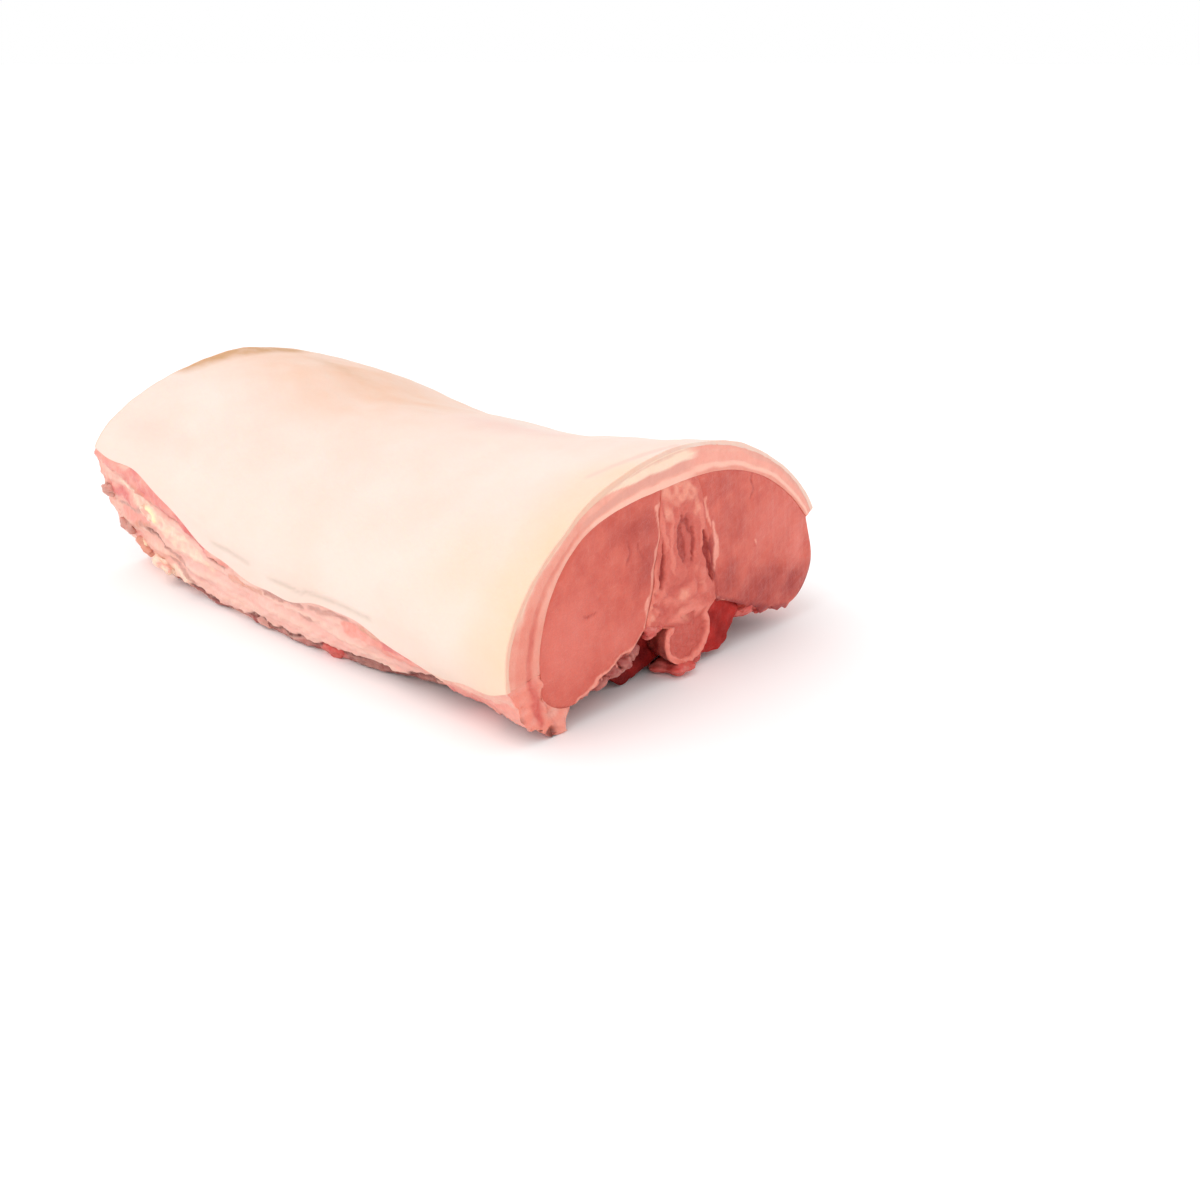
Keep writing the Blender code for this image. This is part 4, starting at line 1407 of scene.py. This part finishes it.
    def _shape(self, side: Side) -> Flesh:
        """The strip's lump: its torn wall, its seat under the loin, its foot and its inner side.

        Args:
            side: Which one.

        Returns:
            The lump, with the foot drawn under at the sawn loin end.
        """
        section = self.section
        x = section.stations(self.stations, last=self.far_last if side is Side.FAR else 1.0, crowd=0.25)
        wall = section.flank_wall(x, side, self.height_steps)
        corner = section.underside(x, side, True, 40)
        meat = np.concatenate((wall[:, :1], corner), axis=1)
        lowest = corner[:, -1]
        inner = np.column_stack((side.value * section.along(x, section.inner_foot[side]), 0 * x))
        bulge = inner + (lowest - inner) * (0.40, 0.55)
        bulge[:, 0] += side.value * 0.12 * lowest[:, 1]
        inside = through(np.stack((lowest, bulge, inner), axis=1), 40)
        share = np.linspace(0, 1, self.depth_steps)[None, :, None]
        foot = wall[:, -1:] * (1 - share) + inner[:, None] * share
        inside, meat = evened(inside, self.height_steps), evened(meat, self.depth_steps)
        strip = Flesh(x, FourEdges(wall, inside, meat, foot))
        tucked = strip.v * smooth_step(1 - strip.points[:, 2] / self.tuck_height)
        to_end = smooth_step((strip.points[:, 0] - self.tuck_from) / self.tuck_run)
        strip.points[:, 1] += side.value * self.tuck * tucked * to_end
        return strip

    def _strip(self, side: Side) -> None:
        """One strip: torn layers of lean and fat, undercut where they part, over a flat foot.

        Args:
            side: Which one.
        """
        far = side is Side.FAR
        strip = self._shape(side)
        at, flank, face = strip.points, strip.flank_at, strip.face_at
        if far:
            taller = np.interp(flank[:, 0], (-182, -100, 120), (1.38, 1.05, 1.0))
            flank = np.column_stack((flank[:, 0] * 1.03 - 4, flank[:, 1] * taller))
        outer = (strip.v == 0).astype(float)
        bent = flank + np.column_stack((4 * lumps(at, 0.030, 61),
                                        1.1 * lumps(at, 0.016, 62) + 0.5 * lumps(at, 0.006, 63)))
        marks = {name: outer * strokes(bent, getattr(self, name), 1.6)
                 for name in ("cream", "yellow", "salmon", "red", "orange", "brown", "dark")}
        muscle = outer * stroke(bent, self.muscle, 1.5)
        parting = outer * stroke(bent, self.parting, 0.9)
        loin_end = strip.at_end(End.LOIN)
        inner_side = (strip.v == 1).astype(float)
        streaks = np.clip(0.5 + 0.5 * lumps(at * (0.14, 1, 1), 0.0055, 64), 0, 1)
        layers = smooth_step(0.5 + 1.2 * np.sin(strip.v * 17 + 1.8 * lumps(at, 0.022, 70)))
        # The band below the hem line, where the wall turns under: it is painted darker as shade and drawn in.
        low = smooth_step((np.interp(flank[:, 0], *zip(*self.hem)) - bent[:, 1]) / 2 + 0.5) * outer
        knob = loin_end * dab(face, self.end_knob, 0.6)
        blood = loin_end * stroke(face, self.end_blood, 2.6)
        notch = loin_end * np.maximum.reduce([dab(face, spot, soft) for *spot, soft in self.end_notches])
        pale_end = np.maximum(knob, loin_end * dab(face, self.end_corner, 0.8))
        cut_end = np.where(loin_end > 0, float(far), 1.0) * strip.is_cap
        strip.paint = {
            "lilac": outer * between(flank[:, 0], -104, 110, 24) * 0.85,
            "cream": np.maximum(marks["cream"] * (0.75 + 0.4 * lumps(at, 0.006, 72)), 0.7 * pale_end)
            + 0.30 * outer * streaks + 0.8 * cut_end * (1 - layers),
            "salmon": np.maximum(marks["salmon"], 0.85 * strip.is_cap) + 0.25 * outer * (1 - streaks)
            + 0.9 * muscle,
            "red": np.maximum.reduce([marks["red"], (0.35 + 0.35 * lumps(at, 0.012, 71)) * muscle,
                                      0.75 * cut_end * layers]) + 0.5 * inner_side,
            "sawn": loin_end * (1 - 0.6 * pale_end) * (0.9 + 0.35 * lumps(at, 0.006, 79)),
            "yellow": marks["yellow"], "orange": 0.8 * marks["orange"], "brown": marks["brown"],
            "blood": np.maximum.reduce([0.7 * blood, outer * dab(bent, (32, 3, 9, 5), 0.7),
                                        0.3 * outer * dab(bent, (-82, 45, 14, 7), 0.8)]),
            # Deep: the band below the hem is painted dark as shade where the wall turns under the flank; a
            # little over the inner side.
            "deep": 0.95 * low * (0.85 + 0.3 * lumps(at, 0.020, 65)) * (1 - 0.9 * marks["red"])
            + 0.35 * inner_side,
            # Dark: the strokes, the notches, a little in the parting's groove as painted shade, and half over
            # the band below the hem from x = 44 to 112 mm as painted shade.
            "dark": np.maximum.reduce([marks["dark"], 0.25 * parting, notch,
                                       0.5 * low * between(flank[:, 0], 44, 112, 10)]),
        }
        layered = (0.9 * muscle - 0.9 * parting - 1.5 * marks["dark"] + 0.8 * marks["yellow"]
                   + 0.5 * marks["orange"] + 0.9 * (streaks - 0.5) + 0.8 * lumps(at * (0.5, 1, 1), 0.010, 66)
                   + 0.35 * lumps(at, 0.004, 67))
        wall = -1.0 * low + outer * layered * smooth_step(strip.u / 0.06)
        wall += inner_side * (0.8 * lumps(at, 0.012, 68) - 0.5) * smooth_step(strip.u / 0.20)
        cap = (1.2 * knob - 1.6 * notch - 0.5 * blood + 0.5 * cut_end * layers + 0.6 * lumps(at, 0.007, 69)
               + 0.25 * lumps(at, 0.003, 78)) * smooth_step(strip.rim / 3.0) - 0.1
        strip.swell(wall, cap)
        self.finish(f"flank_strip_{side.word}", strip, FLANK_FINISH, "flank", f"flank_{side.word}")


@dataclass
class Tenderloins(Carcass):
    """The dark strips in the corners between the loins' undersides and the vertebral bodies."""

    around: int = 60
    inwards: int = 14
    stations: int = 120
    end_x: dict = field(default_factory=lambda: both(0.169, 0.180))
    tip_size: float = 0.30
    clear: float = 0.0004
    outward: float = 0.003

    def build(self) -> None:
        """Makes both strips."""
        for side in Side:
            self._strip(side)

    def _strip(self, side: Side) -> None:
        """One strip: a free belly between its seats on the body and under the loin, tapering to the rib end.

        Args:
            side: Which one.
        """
        section = self.section
        first, last = (x / section.length + 0.5 for x in (section.tenderloin_tip_x, self.end_x[side]))
        x = section.stations(self.stations, first, last, 0.4)
        run = np.clip((x - section.tenderloin_tip_x) / section.tenderloin_taper, 0, 1)
        size = self.tip_size + (1 - self.tip_size) * np.sin(run * np.pi / 2)
        seat = section.underside(x, side, False, 121)[:, ::-1]
        reach = abs(section.column_base_y[side]) + section.tenderloin_reach * size
        far_out = np.abs(seat[..., 0])
        stop = np.array([np.interp(r, row, np.arange(len(row))) for r, row in zip(reach, far_out)])
        on_loin = at_places(seat, stop[:, None] * np.linspace(0, 1, 30)[None, :])
        notch = section.body_notch_deg if side is Side.FAR else 180 - section.body_notch_deg
        wrap = (section.body_notch_deg + section.tenderloin_wrap_deg * size) * side.value
        on_body = section.body_arc(x, notch, notch - wrap, 30, self.clear)
        hang = np.array((side.value * self.outward, -section.tenderloin_hang)) * size[:, None]
        belly = (on_body[:, -1] + on_loin[:, -1]) / 2 + hang
        free = evened(through(np.stack((on_body[:, -1], belly, on_loin[:, -1]), axis=1), 20), self.around)
        seats = evened(np.concatenate((on_body[:, ::-1], on_loin), axis=1), self.around)
        shut = np.ones((1, self.inwards, 1))
        strip = Flesh(x, FourEdges(free, seats, free[:, :1] * shut, free[:, -1:] * shut))
        at = strip.points
        outside = (strip.v == 0).astype(float)
        flecks = smooth_step((lumps(at * (0.5, 1, 1), 0.012, 72) - 0.75) / 0.3)
        bundles = np.sin(strip.u * 26 + 1.5 * lumps(at * (0.3, 1, 1), 0.02, 71))
        edge = smooth_step(np.minimum(strip.u, 1 - strip.u) / 0.15)
        strip.paint = {
            "fat": 0.5 * outside * flecks * (at[:, 0] < 0.15),
            # The near strip is painted near-black as the shade of the hollow it lies in; the far one only a
            # little darker.
            "dark": (0.90 if side is Side.NEAR else 0.12) + 0.25 * lumps(at, 0.016, 73),
        }
        wall = outside * edge * (0.35 * bundles + 0.6 * lumps(at, 0.012, 74) + 0.3 * lumps(at, 0.005, 75))
        strip.swell(wall, 0.6 * smooth_step(strip.rim / 2.5) + 0.3 * lumps(at, 0.006, 76))
        self.finish(f"tenderloin_strip_{side.word}", strip, TENDERLOIN_FINISH, "tenderloin",
                    f"tenderloin_{side.word}")


@dataclass(frozen=True)
class Scrap:
    """A torn bit: its middle, half sizes, turn about x and y in degrees, and its main coat."""

    middle: Floats
    half: Floats
    roll: float = 0.0
    pitch: float = 0.0
    coat: str = "red"


@dataclass
class Scraps(Carcass):
    """Torn bits that hang on the flanks and under the loins."""

    around: int = 36
    rows: int = 22
    near_flank: tuple[Scrap, ...] = (
        Scrap((-176, -125, 52), (5.0, 4.0, 4.0), 20, 30, "brown"),
        Scrap((-168, -120.5, 29), (5.5, 4.0, 4.0), 20, 30, "brown"),
        Scrap((-153, -118.5, 19), (8.0, 4.0, 3.8), 10, 35, "orange"),
        Scrap((-28, -117, 3.5), (7.5, 3.4, 3.2), 15, 10, "brown"),
        Scrap((31, -114.5, 4.0), (9.0, 4.2, 4.0), 10, -8, "blood"),
        Scrap((-128, -126.3, 46), (6.5, 2.9, 3.0), 10, 30, "cream"),
        Scrap((-130, -121, 13), (9.0, 3.4, 4.0), 10, 20, "cream"),
        Scrap((175, -101, 7), (6.0, 8.0, 5.5), 0, 10, "salmon"),
    )
    far_flank: tuple[Scrap, ...] = (
        Scrap((-168, 112, 32), (7.0, 3.6, 4.5), -20, 20, "salmon"),
        Scrap((-118, 112, 18), (9.0, 3.2, 3.5), -10, 10, "cream"),
        Scrap((-40, 111, 8), (10.0, 3.2, 3.5), -10, 4, "red"),
        Scrap((50, 107, 8), (9.0, 3.2, 3.5), -10, -4, "salmon"),
        Scrap((108, 99, 12), (8.0, 4.6, 5.0), -10, -10, "cream"),
    )
    below: tuple[Scrap, ...] = (
        Scrap((166, -64, 13), (9.0, 8.0, 3.2), -14, 0, "red"),
        Scrap((172, -48, 17), (6.0, 6.0, 3.2), -22, 5, "deep"),
        Scrap((177, -67, 15.8), (6.0, 7.0, 3.4), 12, 0, "deep"),
        Scrap((177.5, -58, 18.4), (6.0, 6.4, 3.8), -8, 0, "deep"),
        Scrap((177, -49, 20), (6.0, 6.0, 4.2), -10, 0, "deep"),
        Scrap((177, -42, 23), (5.5, 5.0, 4.0), 0, 0, "deep"),
        Scrap((175.5, -7, 3.6), (10.5, 9.0, 4.0), 0, -4, "blood"),
        Scrap((174, 6, 4.0), (8.0, 6.0, 3.8), 0, 0, "blood"),
        Scrap((177, 50, 19), (5.0, 7.0, 3.6), 10, 0, "blood"),
        Scrap((179, -28.5, 32.2), (4.6, 8.0, 4.4), -14, 0, "blood"),
        Scrap((176, 66, 16), (5.5, 8.0, 3.8), 0, 0, "blood"),
        Scrap((176, 79, 14), (5.0, 6.0, 4.4), -10, 0, "blood"),
    )

    def build(self) -> None:
        """Makes one piece of the bits at each place."""
        self._bits("scraps_near", self.near_flank, "flank")
        self._bits("scraps_far", self.far_flank, "flank")
        self._bits("scraps_below", self.below, "loin_lean")

    def _ball(self) -> tuple[Array, Array, Array]:
        """A ball of radius one, in rows from pole to pole.

        Returns:
            Its points (cos rise cos turn, cos rise sin turn, sin rise), their numbers by row, and the quads.
        """
        turns = np.linspace(0, 2 * np.pi, self.around, endpoint=False)
        turn, rise = np.meshgrid(turns, np.linspace(-np.pi / 2, np.pi / 2, self.rows))
        ball = np.stack((np.cos(rise) * np.cos(turn), np.cos(rise) * np.sin(turn), np.sin(rise)), axis=-1)
        ids = np.arange(self.rows * self.around).reshape(self.rows, self.around)
        ahead = np.roll(ids, -1, axis=1)
        quads = np.stack((ids[:-1], ahead[:-1], ahead[1:], ids[1:]), axis=-1)
        return ball.reshape(-1, 3), ids, quads.reshape(-1, 4)

    def _bits(self, name: str, bits: tuple[Scrap, ...], slot: str) -> None:
        """Lumpy ovals: a ball stretched to the half sizes and turned, with waves on its radius.

        Args:
            name: The piece's name.
            bits: The bits in it.
            slot: The record's material slot.
        """
        ball, ids, quads = self._ball()
        points, faces, kinds = [], [], []
        for number, bit in enumerate(bits):
            wave = 1 + 0.22 * lumps(ball, 1.6, 80 + number) + 0.10 * lumps(ball, 0.6, 120 + number)
            wave[ids[0]], wave[ids[-1]] = wave[ids[0]].mean(), wave[ids[-1]].mean()
            roll = Matrix.Rotation(np.radians(bit.roll), 3, "X")
            pitch = Matrix.Rotation(np.radians(bit.pitch), 3, "Y")
            place = (ball * wave[:, None] * np.array(bit.half)) @ np.array(roll @ pitch).T + bit.middle
            place[:, 2] = np.maximum(place[:, 2], 0.0)
            points.append(place * MM)
            faces.append(quads + number * len(ball))
            kinds.append(np.full(len(ball), bit.coat, dtype=object))
        at, kind = np.concatenate(points), np.concatenate(kinds)
        paint = {coat.paint: 0.9 * (kind == coat.paint) for coat in FLANK_FINISH.coats}
        paint["red"] = np.maximum(paint["red"], 0.5 * smooth_step((lumps(at, 0.006, 90) - 0.3) / 0.4))
        self.add(name, at + (0, self.section.spine_y, 0), np.concatenate(faces), paint, FLANK_FINISH, slot)


# ---------------------------------------------------------------- studio


@dataclass
class Studio:
    """Plain pale floor, soft white light and the camera."""

    camera_at: Floats = (0.58494, -0.49404, 0.29884)
    azimuth_deg: float = 43.0
    pitch_deg: float = 22.0
    lens: float = 40.5
    sensor: float = 36.0
    nearest: float = 0.01
    floor_half: float = 40.0
    floor_colours: tuple[Colour, Colour] = ((0.99, 0.99, 0.99), (0.975, 0.975, 0.975))
    floor_mottle: float = 0.30
    floor_roughness: float = 0.9
    floor_specular: float = 0.2
    surroundings: float = 1.0
    sun_strength: float = 0.9
    sun_spread_deg: float = 60.0
    sun_direction: Floats = (0.20, 0.60, -0.80)

    def build(self) -> None:
        """Sets up the floor, the light and the camera."""
        self._floor()
        self._light()
        self._camera()

    def _floor(self) -> None:
        """A level square of pale board with the faintest mottle."""
        half = self.floor_half
        corners = [(-half, -half, 0), (half, -half, 0), (half, half, 0), (-half, half, 0)]
        data = bpy.data.meshes.new("floor")
        data.from_pydata(corners, [], [(0, 1, 2, 3)])
        floor = bpy.data.objects.new("floor", data)
        nodes = Nodes("floor_finish")
        nodes.shade({
            "Base Color": nodes.mix(nodes.noise(self.floor_mottle, 2.0), *self.floor_colours),
            "Roughness": self.floor_roughness, "Specular IOR Level": self.floor_specular})
        data.materials.append(nodes.made)
        bpy.context.scene.collection.objects.link(floor)

    def _light(self) -> None:
        """White surroundings and a broad, soft sun from the near side."""
        world = bpy.data.worlds.new("studio")
        world.use_nodes = True
        background = world.node_tree.nodes["Background"]
        background.inputs["Color"].default_value = (1.0, 1.0, 1.0, 1.0)
        background.inputs["Strength"].default_value = self.surroundings
        bpy.context.scene.world = world
        lamp = bpy.data.lights.new("window_light", "SUN")
        lamp.energy = self.sun_strength
        lamp.angle = np.radians(self.sun_spread_deg)
        holder = bpy.data.objects.new("window_light", lamp)
        holder.rotation_euler = Vector(self.sun_direction).to_track_quat("-Z", "Y").to_euler()
        bpy.context.scene.collection.objects.link(holder)
        bpy.context.scene.view_settings.view_transform = "Standard"

    def _camera(self) -> None:
        """A level camera turned to the azimuth and pitched down."""
        turn, pitch = np.radians(self.azimuth_deg), np.radians(self.pitch_deg)
        back = Vector((np.sin(turn) * np.cos(pitch), -np.cos(turn) * np.cos(pitch), np.sin(pitch)))
        right = Vector((np.cos(turn), np.sin(turn), 0.0))
        up = back.cross(right)
        data = bpy.data.cameras.new("camera")
        data.lens = self.lens
        data.sensor_width = self.sensor
        data.clip_start = self.nearest
        camera = bpy.data.objects.new("camera", data)
        turned = Matrix((right, up, back)).transposed().to_4x4()
        camera.matrix_world = Matrix.Translation(self.camera_at) @ turned
        bpy.context.scene.collection.objects.link(camera)
        bpy.context.scene.camera = camera


def main() -> None:
    """Builds the studio and the pieces."""
    Studio().build()
    section = LoinSection()
    for part in (Covering, Loins, Backbone, Flanks, Tenderloins, Scraps):
        part(section).build()
        LOG.info("%s done", part.__name__)
    bpy.context.view_layer.update()


if __name__ == "__main__":
    main()
